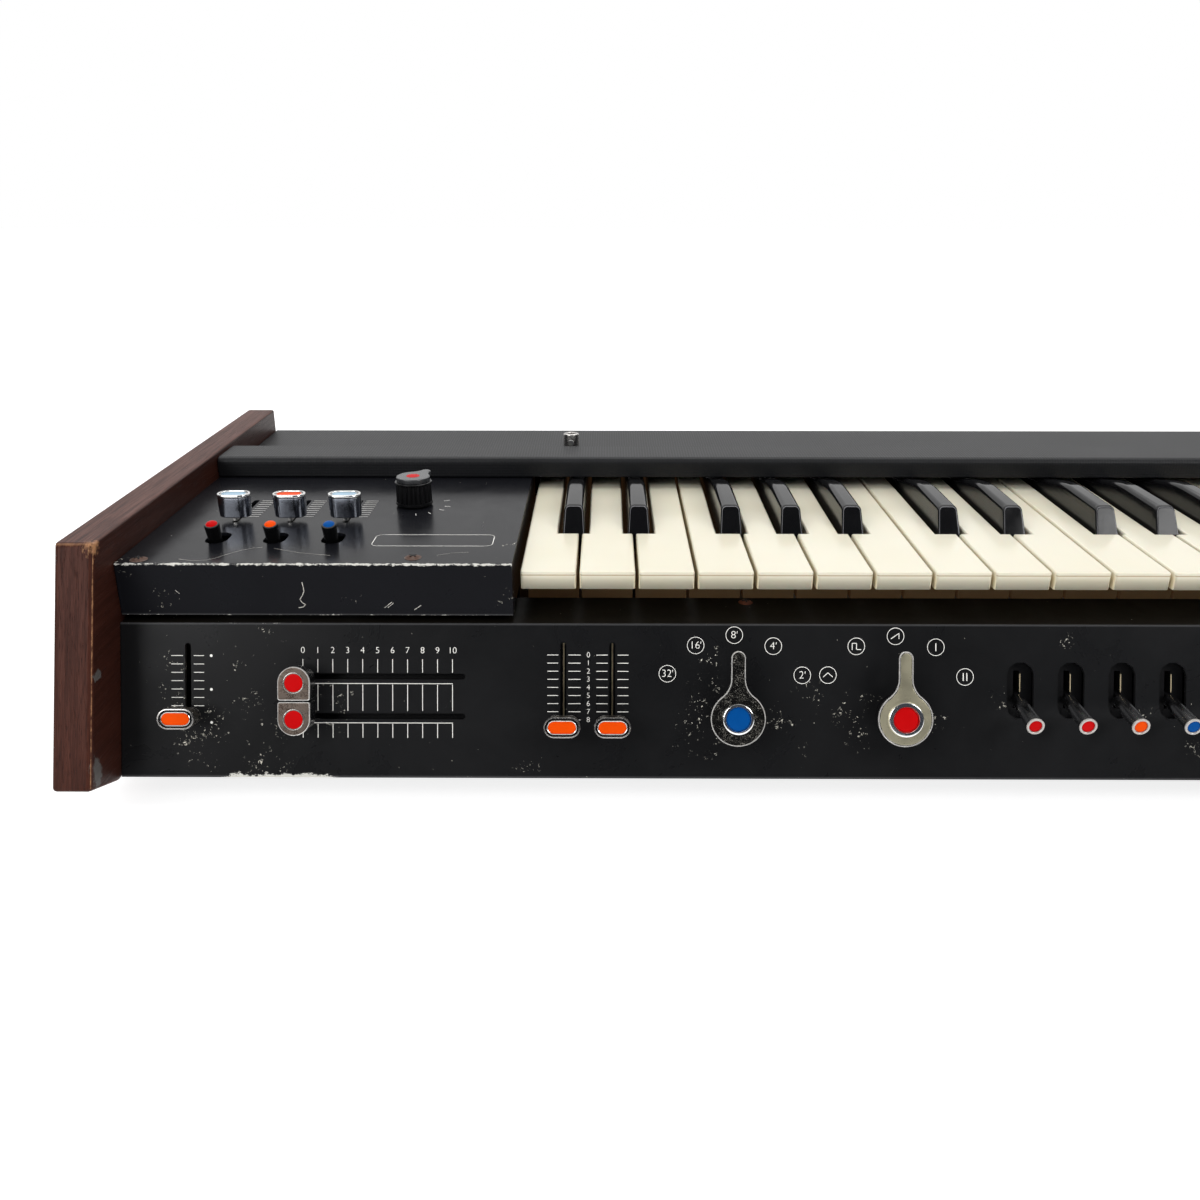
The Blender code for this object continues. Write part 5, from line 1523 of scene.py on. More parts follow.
@dataclass
class CrossCap(Control):
    """One of two D-shaped chrome caps that stand back to back, each with a round red inlay."""

    slot_down: float
    side: int
    x: float = -0.2814
    split: float = 0.02935
    gap: float = 0.0006
    width: float = 0.0125
    length: float = 0.0130
    back: float = 0.0045
    face: float = 0.0140
    rim: float = 0.00032
    insert: float = 0.0036
    reach: float = 0.0047
    steps: int = 20

    def centre(self) -> float:
        """Returns how far the round end's centre stands up the slope from the split between the two caps."""
        return -self.side * (self.gap / 2 + self.length - self.width / 2)

    def outline(self, less: float) -> list[Point]:
        """Outlines the D, with small rounds at its flat side's corners.

        Args:
            less: how far the outline is drawn in.

        Returns:
            The points.
        """
        radius = self.width / 2 - less
        flat = -self.side * (self.gap / 2 + less)
        small = 0.0008
        start = 0.0 if self.side < 0 else math.pi
        bow = arc((0.0, self.centre()), radius, start, start + math.pi, self.steps)
        end = -small if self.side > 0 else small
        half, turned = start + math.pi, start + 1.5 * math.pi
        first = arc((math.copysign(radius - small, bow[-1][0]), flat + end), small, half, turned, 4)
        whole = start + 2 * math.pi
        last = arc((math.copysign(radius - small, bow[0][0]), flat + end), small, turned, whole, 4)
        return bow + first + last[:-1]

    def build(self) -> None:
        """Makes the cap, its rim, the ring round its inlay, the inlay and its stem."""
        top = self.face
        place = panel_matrix(self.x, self.split)
        body = self.stacked(
            (0.0006, self.back), (0.0002, self.back + 0.0003), (0.0001, top - 0.0009), (0.0002, top - 0.0006),
        )
        self.fit("body", body, place, DARK_CHROME, "chrome", [self.node])
        plate = self.stacked(
            (self.rim - 0.0001, top - 0.0007), (self.rim, top - 0.00012), (self.rim + 0.0005, top - 0.00008),
        )
        self.fit("plate", plate, place, BROWNISH)
        rim = self.stacked(
            (0.00015, top - 0.0010), (0.0, top - 0.0007), (0.00004, top - 0.0002), (0.00015, top),
            (self.rim, top - 0.00002), (self.rim + 0.0001, top - 0.0003),
        )
        self.fit("rim", rim, place, THIN_EDGE)
        middle = place @ Matrix.Translation((0.0, self.centre(), 0.0))
        ring = Form().lathe([
            (self.insert + 0.00012, top - 0.0006), (self.insert + 0.00014, top - 0.00002),
            (self.insert + 0.00030, top + 0.00002), (self.insert + 0.00044, top - 0.00004),
            (self.insert + 0.00046, top - 0.0006),
        ], 48)
        self.fit("ring", ring, middle, CAP_RIM)
        insert = Form().lathe([
            (0.0, top - 0.0004), (0.0, top + 0.00004), (self.insert - 0.0008, top + 0.00003),
            (self.insert - 0.0002, top - 0.00003), (self.insert, top - 0.00014), (self.insert, top - 0.0004),
        ], 48)
        self.fit("insert", insert, middle, INKS[Ink.RED], "black_plastic")
        stem = Form().block((-0.00225, -0.00085, -self.reach), (0.00225, 0.00085, self.back + 0.0003))
        self.fit("stem", stem.soften(0.0002), panel_matrix(self.x, self.slot_down), CHROME)


@dataclass
class PointerKnob(Control):
    """A teardrop pointer with a bright rim on a round hub, and a boss around a sunk coloured disc."""

    x: float
    ink: Ink
    plate: object = PITTED
    boss: float = 0.0060
    pocket: float = 0.0048
    groove: float = 0.0
    down: float = KNOB_DOWN
    radius: float = 0.0106
    reach: float = 0.0262
    neck: float = 0.0056
    fillet: float = 0.0090
    back: float = 0.0100
    face: float = 0.0128
    boss_face: float = 0.0140
    rim: float = 0.00040
    hub: float = 0.0085

    def outline(self, less: float) -> list[Point]:
        """Returns the pointer's outline drawn in by a distance."""
        return teardrop(self.radius - less, self.reach - less, self.neck - 2 * less, self.fillet + less)

    def pointer(self, place: Matrix) -> None:
        """Makes the pointer's dark side, its rim and its face.

        Args:
            place: where the knob stands on the slope.
        """
        side = self.stacked(
            (0.0007, self.back), (0.0002, self.back + 0.0002), (0.0001, self.back + 0.0007),
            (0.0001, self.face - 0.0006),
        )
        self.fit("side", side, place, DARK_CHROME, "chrome", [self.node])
        rim = self.stacked(
            (0.00015, self.face - 0.0009), (0.0, self.face - 0.0006), (0.00005, self.face - 0.0002),
            (0.00018, self.face), (self.rim, self.face - 0.00002), (self.rim + 0.0001, self.face - 0.0003),
        )
        self.fit("rim", rim, place, THIN_EDGE)
        inner = self.rim + self.groove
        if self.groove:
            trench = self.stacked(
                (self.rim, self.face - 0.0005), (self.rim, self.face - 0.0003), (inner, self.face - 0.0003),
            )
            self.fit("groove", trench, place, DULL_BLACK, "black_plastic")
        face = self.stacked(
            (inner, self.face - 0.0005), (inner, self.face - 0.00016), (inner + 0.0002, self.face - 0.00008),
        )
        self.fit("face", face, place, self.plate)

    def build(self) -> None:
        """Makes the hub, the pointer, the boss and the insert."""
        place = panel_matrix(self.x, self.down)
        self.pointer(place)
        top = self.boss_face
        boss = Form().lathe([
            (self.pocket, self.face - 0.0003), (self.pocket, top - 0.0003), (self.pocket + 0.00025, top),
            (self.boss - 0.0004, top), (self.boss - 0.0001, top - 0.0002), (self.boss, self.face + 0.0003),
            (self.boss + 0.0002, self.face), (self.boss + 0.0002, self.face - 0.0003),
        ], 56)
        self.fit("boss", boss, place, BRIGHT)
        level = top - 0.0005
        insert = Form().lathe([
            (0.0, level - 0.0004), (0.0, level + 0.0001), (self.pocket - 0.0010, level + 0.00005),
            (self.pocket - 0.0002, level - 0.0001), (self.pocket - 0.0001, level - 0.0004),
        ], 48)
        self.fit("insert", insert, place, INKS[self.ink], "black_plastic")
        hub = Form().lathe([
            (0.0, 0.0006), (self.hub - 0.0004, 0.0006), (self.hub, 0.0010),
            (self.hub - 0.0002, self.back - 0.0002), (self.hub - 0.0010, self.back + 0.0002),
            (0.0, self.back + 0.0002),
        ], 48)
        self.fit("hub", hub, place, DULL_BLACK)
        self.pot_shaft(place, 0.0008)


@dataclass
class Toggle(Control):
    """A tapered lever that widens to a round end with a coloured dot in it."""

    pivot: Matrix
    ink: Ink
    end: float
    shaft: tuple[Point, ...]
    dot: float
    blade: tuple[float, float, float]
    finish: object = BLACK
    ring: float = 0.0
    lean: float = 0.0
    dome: float = 0.00013

    def build(self) -> None:
        """Makes the shaft, its bright end ring where it has one, its dot and the blade inside."""
        place = self.pivot @ Matrix.Rotation(self.lean, 4, "X")
        end = self.end
        shaft = Form().lathe(list(self.shaft), 36)
        self.fit("shaft", shaft, place, self.finish, "black_plastic", [self.node])
        if self.ring:
            ring = Form().lathe([
                (0.0, end - 0.0009), (self.ring - 0.0001, end - 0.0009), (self.ring, end - 0.0003),
                (self.ring - 0.0002, end), (self.dot + 0.0002, end), (self.dot, end - 0.0002),
                (self.dot, end - 0.0007), (0.0, end - 0.0007),
            ], 40)
            self.fit("ring", ring, place, LEVER_RING)
        low = end - 0.0008 if self.ring else end - 0.0003
        face = end - 0.0005 if self.ring else end + 0.00002
        dot = Form().lathe([
            (0.0, low), (self.dot - 0.00004, low), (self.dot - 0.00004, face - 0.00012),
            (self.dot - 0.0002, face), (self.dot * 0.75, face + self.dome * 0.5),
            (self.dot * 0.4, face + self.dome * 0.88), (0.0, face + self.dome),
        ], 36)
        self.fit("dot", dot, place, INKS[self.ink], "black_plastic")
        width, depth, reach = self.blade
        blade = Form().block((-width / 2, -depth / 2, -0.001), (width / 2, depth / 2, reach)).soften(0.0002)
        self.fit("blade", blade, place, DULL_BLACK, "black_plastic")


@dataclass
class Selector(Control):
    """A ribbed rotary selector with a flat pointed plate on top and a red dot."""

    node: str = "rotary_selector"
    x: float = -0.249
    y: float = -0.012
    radius: float = 0.0081
    ribs: int = 22
    groove: float = 0.0008
    foot: float = 0.0008
    height: float = 0.0115
    plate: float = 0.0022
    skirt: float = 0.0083
    disc: float = 0.0076
    reach: float = 0.0128
    neck: float = 0.0044
    heading: float = math.radians(66.0)
    dot: float = 0.0030

    def ribbed(self, less: float) -> list[Point]:
        """Outlines the ribbed body.

        Args:
            less: how far the outline is drawn in.

        Returns:
            The points.
        """
        points = []
        per_rib = 8
        for step in range(self.ribs * per_rib):
            turn = 2 * math.pi * step / (self.ribs * per_rib)
            dip = self.groove * abs(math.sin(turn * self.ribs / 2)) ** 3
            radius = self.radius - less - dip
            points.append((radius * math.cos(turn), radius * math.sin(turn)))
        return points

    def outline(self, less: float) -> list[Point]:
        """Returns the top plate's outline drawn in by a distance."""
        return teardrop(self.disc - less, self.reach - less, self.neck - 2 * less, self.disc + less)

    def build(self) -> None:
        """Makes the skirt, the ribbed body, the smooth band above it, the plate and the dot."""
        place = effects_matrix(self.x, self.y)
        top = self.height
        body = Form().loft([
            (self.ribbed(0.0), self.foot + 0.0006),
            (self.ribbed(0.0001), top * 0.5),
            (self.ribbed(0.0003), top - 0.0012),
            (self.ribbed(0.0007), top - 0.0009),
        ])
        self.fit("body", body, place, DULL_BLACK, "black_plastic", [self.node], 50.0)
        band = Form().lathe([
            (0.0, top - 0.0011), (self.skirt - 0.0003, top - 0.0011), (self.skirt, top - 0.0008),
            (self.skirt, top - 0.0003), (self.skirt - 0.0003, top), (0.0, top),
        ], 64)
        self.fit("band", band, place, BLACK, "black_plastic")
        skirt = Form().lathe([
            (0.0, self.foot), (self.skirt - 0.0002, self.foot), (self.skirt, self.foot + 0.0003),
            (self.skirt - 0.0001, self.foot + 0.0012), (self.skirt - 0.0006, self.foot + 0.0014),
            (0.0, self.foot + 0.0014),
        ], 64)
        self.fit("skirt", skirt, place, DULL_BLACK, "black_plastic")
        end = top + self.plate
        plate = self.stacked(
            (0.0004, top - 0.0001), (0.0001, top + 0.0002), (0.0, end - 0.0006), (0.0002, end - 0.0002),
            (0.0006, end),
        )
        turned = place @ Matrix.Rotation(self.heading - math.pi / 2, 4, "Z")
        self.fit("plate", plate, turned, GREY_PLATE, "black_plastic")
        dot = Form().lathe([
            (0.0, end - 0.0001), (self.dot, end - 0.0001), (self.dot, end + 0.00002),
            (self.dot - 0.0002, end + 0.00012), (0.0, end + 0.00016),
        ], 40)
        self.fit("dot", dot, place, INKS[Ink.RED], "black_plastic")
        self.pot_shaft(place, 0.0012)


class Mark(Enum):
    """The marks printed in circles over the two pointer knobs."""

    N32 = "32"
    N16 = "16"
    N8 = "8"
    N4 = "4"
    N2 = "2"
    TRIANGLE = "triangle"
    SQUARE = "square"
    SAW = "saw"
    NARROW = "narrow"
    WIDE = "wide"


class Print:
    """Thin raised marks collected on one panel."""

    def __init__(self, plane: Callable[[float, float, float], Matrix], lift: float = INK_LIFT) -> None:
        """Starts an empty print.

        Args:
            plane: gives the matrix of a place on the panel.
            lift: how far the marks' undersides stand off the panel.
        """
        self.plane = plane
        self.low = lift
        self.high = lift + INK_DEPTH
        self.form = Form()

    def bar(self, start: Point, end: Point, width: float = 0.00025) -> None:
        """Prints a straight line.

        Args:
            start: its first point on the panel.
            end: its last point.
            width: the line's width.
        """
        (x1, y1), (x2, y2) = start, end
        length = math.hypot(x2 - x1, y2 - y1) + width
        turn = Matrix.Rotation(math.atan2(y2 - y1, x2 - x1), 4, "Z")
        line = Form().block((-length / 2, -width / 2, self.low), (length / 2, width / 2, self.high))
        line.place(self.plane((x1 + x2) / 2, (y1 + y2) / 2, 0.0) @ turn)
        self.form.join(line)

    def path(self, points: Sequence[Point], width: float = 0.00026) -> None:
        """Prints a line through several points."""
        for start, end in zip(points, points[1:]):
            self.bar(start, end, width)

    def dot(self, x: float, y: float, radius: float) -> None:
        """Prints a filled dot."""
        profile = [(0.0, self.low), (radius, self.low), (radius, self.high), (0.0, self.high)]
        self.form.join(Form().lathe(profile, 16).place(self.plane(x, y, 0.0)))

    def circle(self, x: float, y: float, radius: float, width: float = 0.00023) -> None:
        """Prints a ring.

        Args:
            x: its centre along the panel.
            y: its centre across the panel.
            radius: its radius, to the middle of the line.
            width: the line's width.
        """
        inner, outer, low, high = radius - width / 2, radius + width / 2, self.low, self.high
        profile = [(inner, low), (outer, low), (outer, high), (inner, high), (inner, low)]
        self.form.join(Form().lathe(profile, 48).place(self.plane(x, y, 0.0)))

    def frame(self, low: Point, high: Point, radius: float, width: float = 0.0003) -> None:
        """Prints an empty rectangle with round corners.

        Args:
            low: its lower left corner.
            high: its upper right corner.
            radius: of its corners.
            width: of its line.
        """
        (x1, y1), (x2, y2) = low, high
        centres = ((x2 - radius, y2 - radius), (x1 + radius, y2 - radius), (x1 + radius, y1 + radius),
                   (x2 - radius, y1 + radius))
        points: list[Point] = []
        for quarter, centre in enumerate(centres):
            points += arc(centre, radius, quarter * math.pi / 2, (quarter + 1) * math.pi / 2, 8)
        self.path(points + points[:1], width)

    def numeral(self, text: str, x: float, y: float, height: float) -> None:
        """Prints a number.

        Args:
            text: its figures.
            x: its centre along the panel.
            y: its centre across the panel.
            height: the figures' height.
        """
        curve = bpy.data.curves.new("numeral", "FONT")
        curve.body = text
        curve.size = height / 0.70
        curve.align_x = "CENTER"
        curve.align_y = "CENTER"
        curve.extrude = INK_DEPTH / 2
        curve.offset = -height * 0.022
        blank = bpy.data.objects.new("numeral", curve)
        bpy.context.scene.collection.objects.link(blank)
        mesh = bpy.data.meshes.new_from_object(blank.evaluated_get(bpy.context.evaluated_depsgraph_get()))
        bpy.data.objects.remove(blank)
        shape = Form()
        shape.bm.from_mesh(mesh)
        bpy.data.meshes.remove(mesh)
        bmesh.ops.remove_doubles(shape.bm, verts=shape.bm.verts, dist=0.000001)
        self.form.join(shape.place(self.plane(x, y, (self.low + self.high) / 2)))


@dataclass
class ControlPanel:
    """The sloped panel's controls and its printed scales."""

    bench: Bench
    volume_x: float = -0.327
    volume_run: tuple[float, float] = (0.0363, 0.0234)
    volume_ticks: tuple[float, float] = (0.0129, 0.0328)
    volume_dashes: tuple[Point, ...] = ((-0.3335, -0.3291), (-0.3246, -0.3208))
    envelope: tuple[float, float] = (-0.1785, -0.1591)
    envelope_run: tuple[float, float] = (0.0392, 0.0269)
    envelope_ticks: tuple[float, float] = (0.0123, 0.00321)
    cross_ticks: tuple[float, float] = (-0.2815, 0.00592)
    cross_dashes: tuple[Point, ...] = ((0.0143, 0.0193), (0.0243, 0.0345), (0.0398, 0.0452))
    envelope_dashes: tuple[Point, ...] = (
        (-0.1847, -0.1806), (-0.1764, -0.1718), (-0.1653, -0.1611), (-0.1570, -0.1529),
    )
    dials: tuple[float, float] = (0.1650, 0.2320)
    throw: float = math.radians(23.0)
    circle: float = 0.0033
    symbol: float = 0.0017
    marks: tuple[tuple[Mark, float, float], ...] = (
        (Mark.N32, -0.1374, 0.0196), (Mark.N16, -0.1263, 0.0084), (Mark.N8, -0.1111, 0.0043),
        (Mark.N4, -0.0957, 0.0086), (Mark.N2, -0.0842, 0.0201), (Mark.TRIANGLE, -0.0741, 0.0200),
        (Mark.SQUARE, -0.0630, 0.0086), (Mark.SAW, -0.0476, 0.0046), (Mark.NARROW, -0.0317, 0.0089),
        (Mark.WIDE, -0.0201, 0.0206),
    )

    def sliders(self) -> None:
        """Makes the five sliders on the slope."""
        rows = (
            ("volume_slider", self.volume_x, self.volume_run[0]),
            ("attack_slider", self.envelope[0], self.envelope_run[0]),
            ("percussion_slider", self.envelope[1], self.envelope_run[0]),
        )
        for node, x, down in rows:
            SliderCap(self.bench, node, panel_matrix(x, down), Ink.ORANGE).build()
        CrossCap(self.bench, "upper_cross_slider", 0.0210, -1).build()
        CrossCap(self.bench, "lower_cross_slider", 0.0368, 1).build()

    def knobs(self) -> None:
        """Makes the four pointer knobs."""
        rows = (
            ("scale_knob", -0.1108, Ink.BLUE, DARK_PLATE, 0.0060, 0.0046, 0.0),
            ("mode_knob", -0.0466, Ink.RED, SATIN, 0.0067, 0.0048, 0.0004),
            ("speed_knob", self.dials[0], Ink.ORANGE, DARK_PLATE, 0.0060, 0.0046, 0.0),
            ("depth_knob", self.dials[1], Ink.BLUE, SATIN, 0.0067, 0.0048, 0.0004),
        )
        for node, x, ink, plate, boss, pocket, groove in rows:
            PointerKnob(self.bench, node, x, ink, plate, boss, pocket, groove).build()

    def toggles(self) -> None:
        """Makes the seven lever switches and the brass edge that shows in each slot."""
        inks = (Ink.RED, Ink.RED, Ink.ORANGE, Ink.BLUE, Ink.RED, Ink.ORANGE, Ink.BLUE)
        end = 0.0310
        shaft = (
            (0.0, 0.0098), (0.0016, 0.0099), (0.0024, 0.0104), (0.0025, 0.0112), (0.0028, 0.0200),
            (0.0032, end - 0.0010), (0.0032, end - 0.0007), (0.0, end - 0.0007),
        )
        edges = Form()
        for number, (x, ink) in enumerate(zip(LEVER_XS, inks), 1):
            pivot = panel_matrix(x, LEVER_DOWN, -0.0120)
            Toggle(self.bench, f"lever_{number}", pivot, ink, end, shaft, dot=0.0025,
                   blade=(0.0018, 0.0030, 0.0110), finish=LEVER_METAL, ring=0.0034, lean=self.throw).build()
            strip = Form().block((0.0012, -0.0010, 0.0), (0.00145, 0.0062, 0.0005))
            edges.join(strip.place(panel_matrix(x, LEVER_DOWN, -0.0045)))
        self.bench.add("lever_slot_edges", edges, PALE_BRASS, slot="black_plastic")

    def slot_linings(self) -> None:
        """Makes the dull brass strip that shows inside each upright slot."""
        strips = Form()
        rows = [(self.volume_x, *self.volume_run)] + [(x, *self.envelope_run) for x in self.envelope]
        for x, rest, travel in rows:
            low, high = -rest - 0.0030, -rest + travel + 0.0045
            strip = Form().block((-0.0003, low, -0.0048), (0.0003, high, -0.0044))
            strips.join(strip.place(panel_matrix(x, 0.0, 0.0)))
        self.bench.add("slot_strips", strips, PALE_BRASS, slot="black_plastic")

    def mark(self, ink: Print, mark: Mark, x: float, down: float) -> None:
        """Prints one circled mark.

        Args:
            ink: the print.
            mark: which mark.
            x: its centre along the panel.
            down: its centre down the slope.
        """
        r = self.symbol
        y = -down
        ink.circle(x, y, self.circle)
        shapes = {
            Mark.TRIANGLE: [(-1.05, -0.40), (0, 0.55), (1.05, -0.40)],
            Mark.SQUARE: [(-0.95, -0.75), (-0.95, 0.70), (0.05, 0.70), (0.05, -0.75), (1.05, -0.75)],
            Mark.SAW: [(-1.0, -0.55), (0.80, 0.70), (0.80, -0.55)],
            Mark.NARROW: [(0, -0.80), (0, 0.80)],
            Mark.WIDE: [(-0.42, -0.80), (-0.42, 0.80)],
        }
        if mark not in shapes:
            half = 0.0009 * len(mark.value)
            ink.numeral(mark.value, x - 0.0003, y, 0.0030)
            ink.bar((x + half + 0.0002, y + 0.0008), (x + half + 0.0003, y + 0.0014), 0.00026)
            return
        bold = 0.00038 if mark in (Mark.NARROW, Mark.WIDE) else 0.00030
        ink.path([(x + px * r, y + py * r) for px, py in shapes[mark]], bold)
        if mark is Mark.WIDE:
            ink.path([(x + 0.42 * r, y - 0.80 * r), (x + 0.42 * r, y + 0.80 * r)], 0.00038)

    def scales(self) -> None:
        """Prints every scale on the slope."""
        ink = Print(lambda x, y, out: panel_matrix(x, -y, out))
        first, last = self.volume_ticks
        for step in range(7):
            down = first + (last - first) * step / 6
            for start, end in self.volume_dashes:
                ink.bar((start, -down), (end, -down))
        for down in (first, 0.0263, 0.0394):
            ink.dot(-0.3178, -down, 0.00055)
        left, pitch = self.cross_ticks
        for step in range(11):
            x = left + pitch * step
            ink.numeral(str(step), x, -0.0107, 0.0025)
            for start, end in self.cross_dashes:
                ink.bar((x, -start), (x, -end))
        for down in (0.0238, 0.0394):
            ink.bar((left, -down), (-0.2223, -down))
        first, pitch = self.envelope_ticks
        for step in range(9):
            down = first + pitch * step
            for start, end in self.envelope_dashes:
                ink.bar((start, -down), (end, -down))
            ink.numeral(str(step), -0.1686, -down, 0.0021)
        for mark, x, down in self.marks:
            self.mark(ink, mark, x, down)
        for x in self.dials:
            for step in range(11):
                turn = math.radians(150 - 12 * step)
                ink.bar(*[(x + r * math.cos(turn), r * math.sin(turn) - KNOB_DOWN) for r in (0.0285, 0.0310)])
        self.bench.add("front_print", ink.form, InkFinish(), slot="black_paint")

    def build(self) -> None:
        """Makes everything on the slope."""
        self.sliders()
        self.knobs()
        self.toggles()
        self.slot_linings()
        self.scales()


@dataclass
class EffectsPanel:
    """The raised panel's sliders, small levers, selector, screws, printed ticks and scratches."""

    bench: Bench
    xs: tuple[float, float, float] = (-0.323, -0.299, -0.275)
    throw: float = math.radians(17.0)
    slider_y: float = -0.0355
    lever_y: float = -0.0602
    tick_rear: float = -0.0060
    tick_pitch: float = 0.00306
    selector: Point = (-0.249, -0.012)
    index: tuple[int, ...] = (74, 27, -9, -30, -56, -79)
    lid: float = 0.0706
    face_scratches: tuple[tuple, ...] = (
        (0.00026, (-0.2808, 0.0869), (-0.2805, 0.0850), (-0.2804, 0.0832), (-0.2812, 0.0814),
         (-0.2823, 0.0798), (-0.2816, 0.0785), (-0.2803, 0.0776), (-0.2812, 0.0766), (-0.2830, 0.0763)),
        (0.00022, (-0.2490, 0.0764), (-0.2478, 0.0774), (-0.2462, 0.0787)),
        (0.00016, (-0.2478, 0.0764), (-0.2464, 0.0776), (-0.2455, 0.0783)),
        (0.00022, (-0.2373, 0.0756), (-0.2362, 0.0763), (-0.2347, 0.0774)),
        (0.00016, (-0.3310, 0.0835), (-0.3296, 0.0822)),
    )
    top_scratches: tuple[tuple, ...] = (
        (0.00010, (-0.3300, -0.0869), (-0.3262, -0.0881), (-0.3225, -0.0885), (-0.3190, -0.0881),
         (-0.3160, -0.0858), (-0.3138, -0.0826), (-0.3118, -0.0798), (-0.3088, -0.0763), (-0.3050, -0.0735),
         (-0.3012, -0.0723)),
        (0.00009, (-0.2960, -0.0737), (-0.2886, -0.0773), (-0.2800, -0.0803), (-0.2714, -0.0822)),
        (0.00009, (-0.2290, -0.0820), (-0.2235, -0.0790), (-0.2168, -0.0781)),
    )

    def controls(self) -> None:
        """Makes the sliders, the levers and the selector."""
        inks = (Ink.PALE_BLUE, Ink.ORANGE, Ink.PALE_BLUE)
        for number, (x, ink) in enumerate(zip(self.xs, inks), 1):
            SliderCap(self.bench, f"effects_slider_{number}", effects_matrix(x, self.slider_y), ink,
                      length=0.0089, back=0.0021, face=0.0123, flare=0.0003, side=SMOOTH_CHROME, rim=0.0012,
                      inset=0.0018, sink=0.0004, border=BRIGHT).build()
        end = 0.0198
        shaft = (
            (0.0, -0.0022), (0.0020, -0.0020), (0.0022, 0.0), (0.0027, end * 0.5), (0.0031, end - 0.0006),
            (0.0030, end - 0.0001), (0.0028, end), (0.0, end),
        )
        for number, (x, ink) in enumerate(zip(self.xs, (Ink.RED, Ink.ORANGE, Ink.BLUE)), 1):
            pivot = effects_matrix(x, self.lever_y, -0.0110)
            Toggle(self.bench, f"effects_lever_{number}", pivot, ink, end, shaft, dot=0.0025,
                   blade=(0.0018, 0.0030, 0.0010), lean=self.throw, dome=0.0008).build()
        Selector(self.bench, x=self.selector[0], y=self.selector[1]).build()

    def ticks(self) -> None:
        """Prints the ticks beside the sliders, the selector's index and an empty frame."""
        ink = Print(effects_matrix)
        for x in self.xs:
            for step in range(9):
                y = self.tick_rear - self.tick_pitch * step
                ink.bar((x + 0.0028, y), (x + 0.0083, y), 0.00022)
        x, y = self.selector
        for degrees in self.index:
            turn = math.radians(degrees)
            ends = [(x + r * math.cos(turn), y + r * math.sin(turn)) for r in (0.0142, 0.0166)]
            ink.bar(*ends, 0.00030)
        ink.frame((-0.2576, -0.0704), (-0.2082, -0.0557), 0.0030)
        self.bench.add("effects_print", ink.form, InkFinish(), slot="black_paint")

    def scratches(self) -> None:
        """Makes the fine scratches on the raised panel's top and front."""
        upright = Matrix.Rotation(math.pi / 2, 4, "X")
        face = Print(lambda x, z, out: Matrix.Translation((x, EFFECTS_FRONT - out, z)) @ upright)
        for width, *points in self.face_scratches:
            face.path(points, width)
        self.bench.add("face_scratches", face.form, SCRATCH, slot="black_paint")
        top = Print(effects_matrix, 0.00002)
        for width, *points in self.top_scratches:
            top.path(points, width)
        self.bench.add("top_scratches", top.form, SCRATCH, slot="black_paint")

    def screw(self, name: str, place: Matrix, turn: float, finish: object, radius: float = 0.0030) -> None:
        """Makes one cross-head screw.

        Args:
            name: its name.
            place: where it sits.
            turn: how its cross is turned.
            finish: what it is covered with.
            radius: its head's radius.
        """
        dome = arc((0.0, -0.0042), 0.0052, math.radians(90), math.radians(55), 8)
        form = Form().lathe([(0.0, -0.0010), (radius, -0.0010), (radius, 0.0001), *reversed(dome)], 40)
        form.place(place)
        self.bench.add(name, form, finish, slot="pan_steel")
        cross = Form()
        for angle in (turn, turn + math.pi / 2):
            bar = Form().block((-0.0016, -0.0003, 0.0006), (0.0016, 0.0003, 0.00108))
            cross.join(bar.place(place @ Matrix.Rotation(angle, 4, "Z")))
        self.bench.add(name + "_recess", cross, DULL_BLACK, slot="pan_steel")

    def build(self) -> None:
        """Makes everything on the effects panel."""
        self.controls()
        self.ticks()
        self.scratches()
        self.screw("screw_left", effects_matrix(-0.3455, -0.0875), 0.4, RUST, 0.0034)
        self.screw("screw_right", effects_matrix(-0.2380, -0.0846), 0.9, RUST, 0.0034)
        self.screw("screw_ledge", Matrix.Translation((-0.1040, -0.0710, self.lid)), 0.2, RED_RUST, 0.0026)


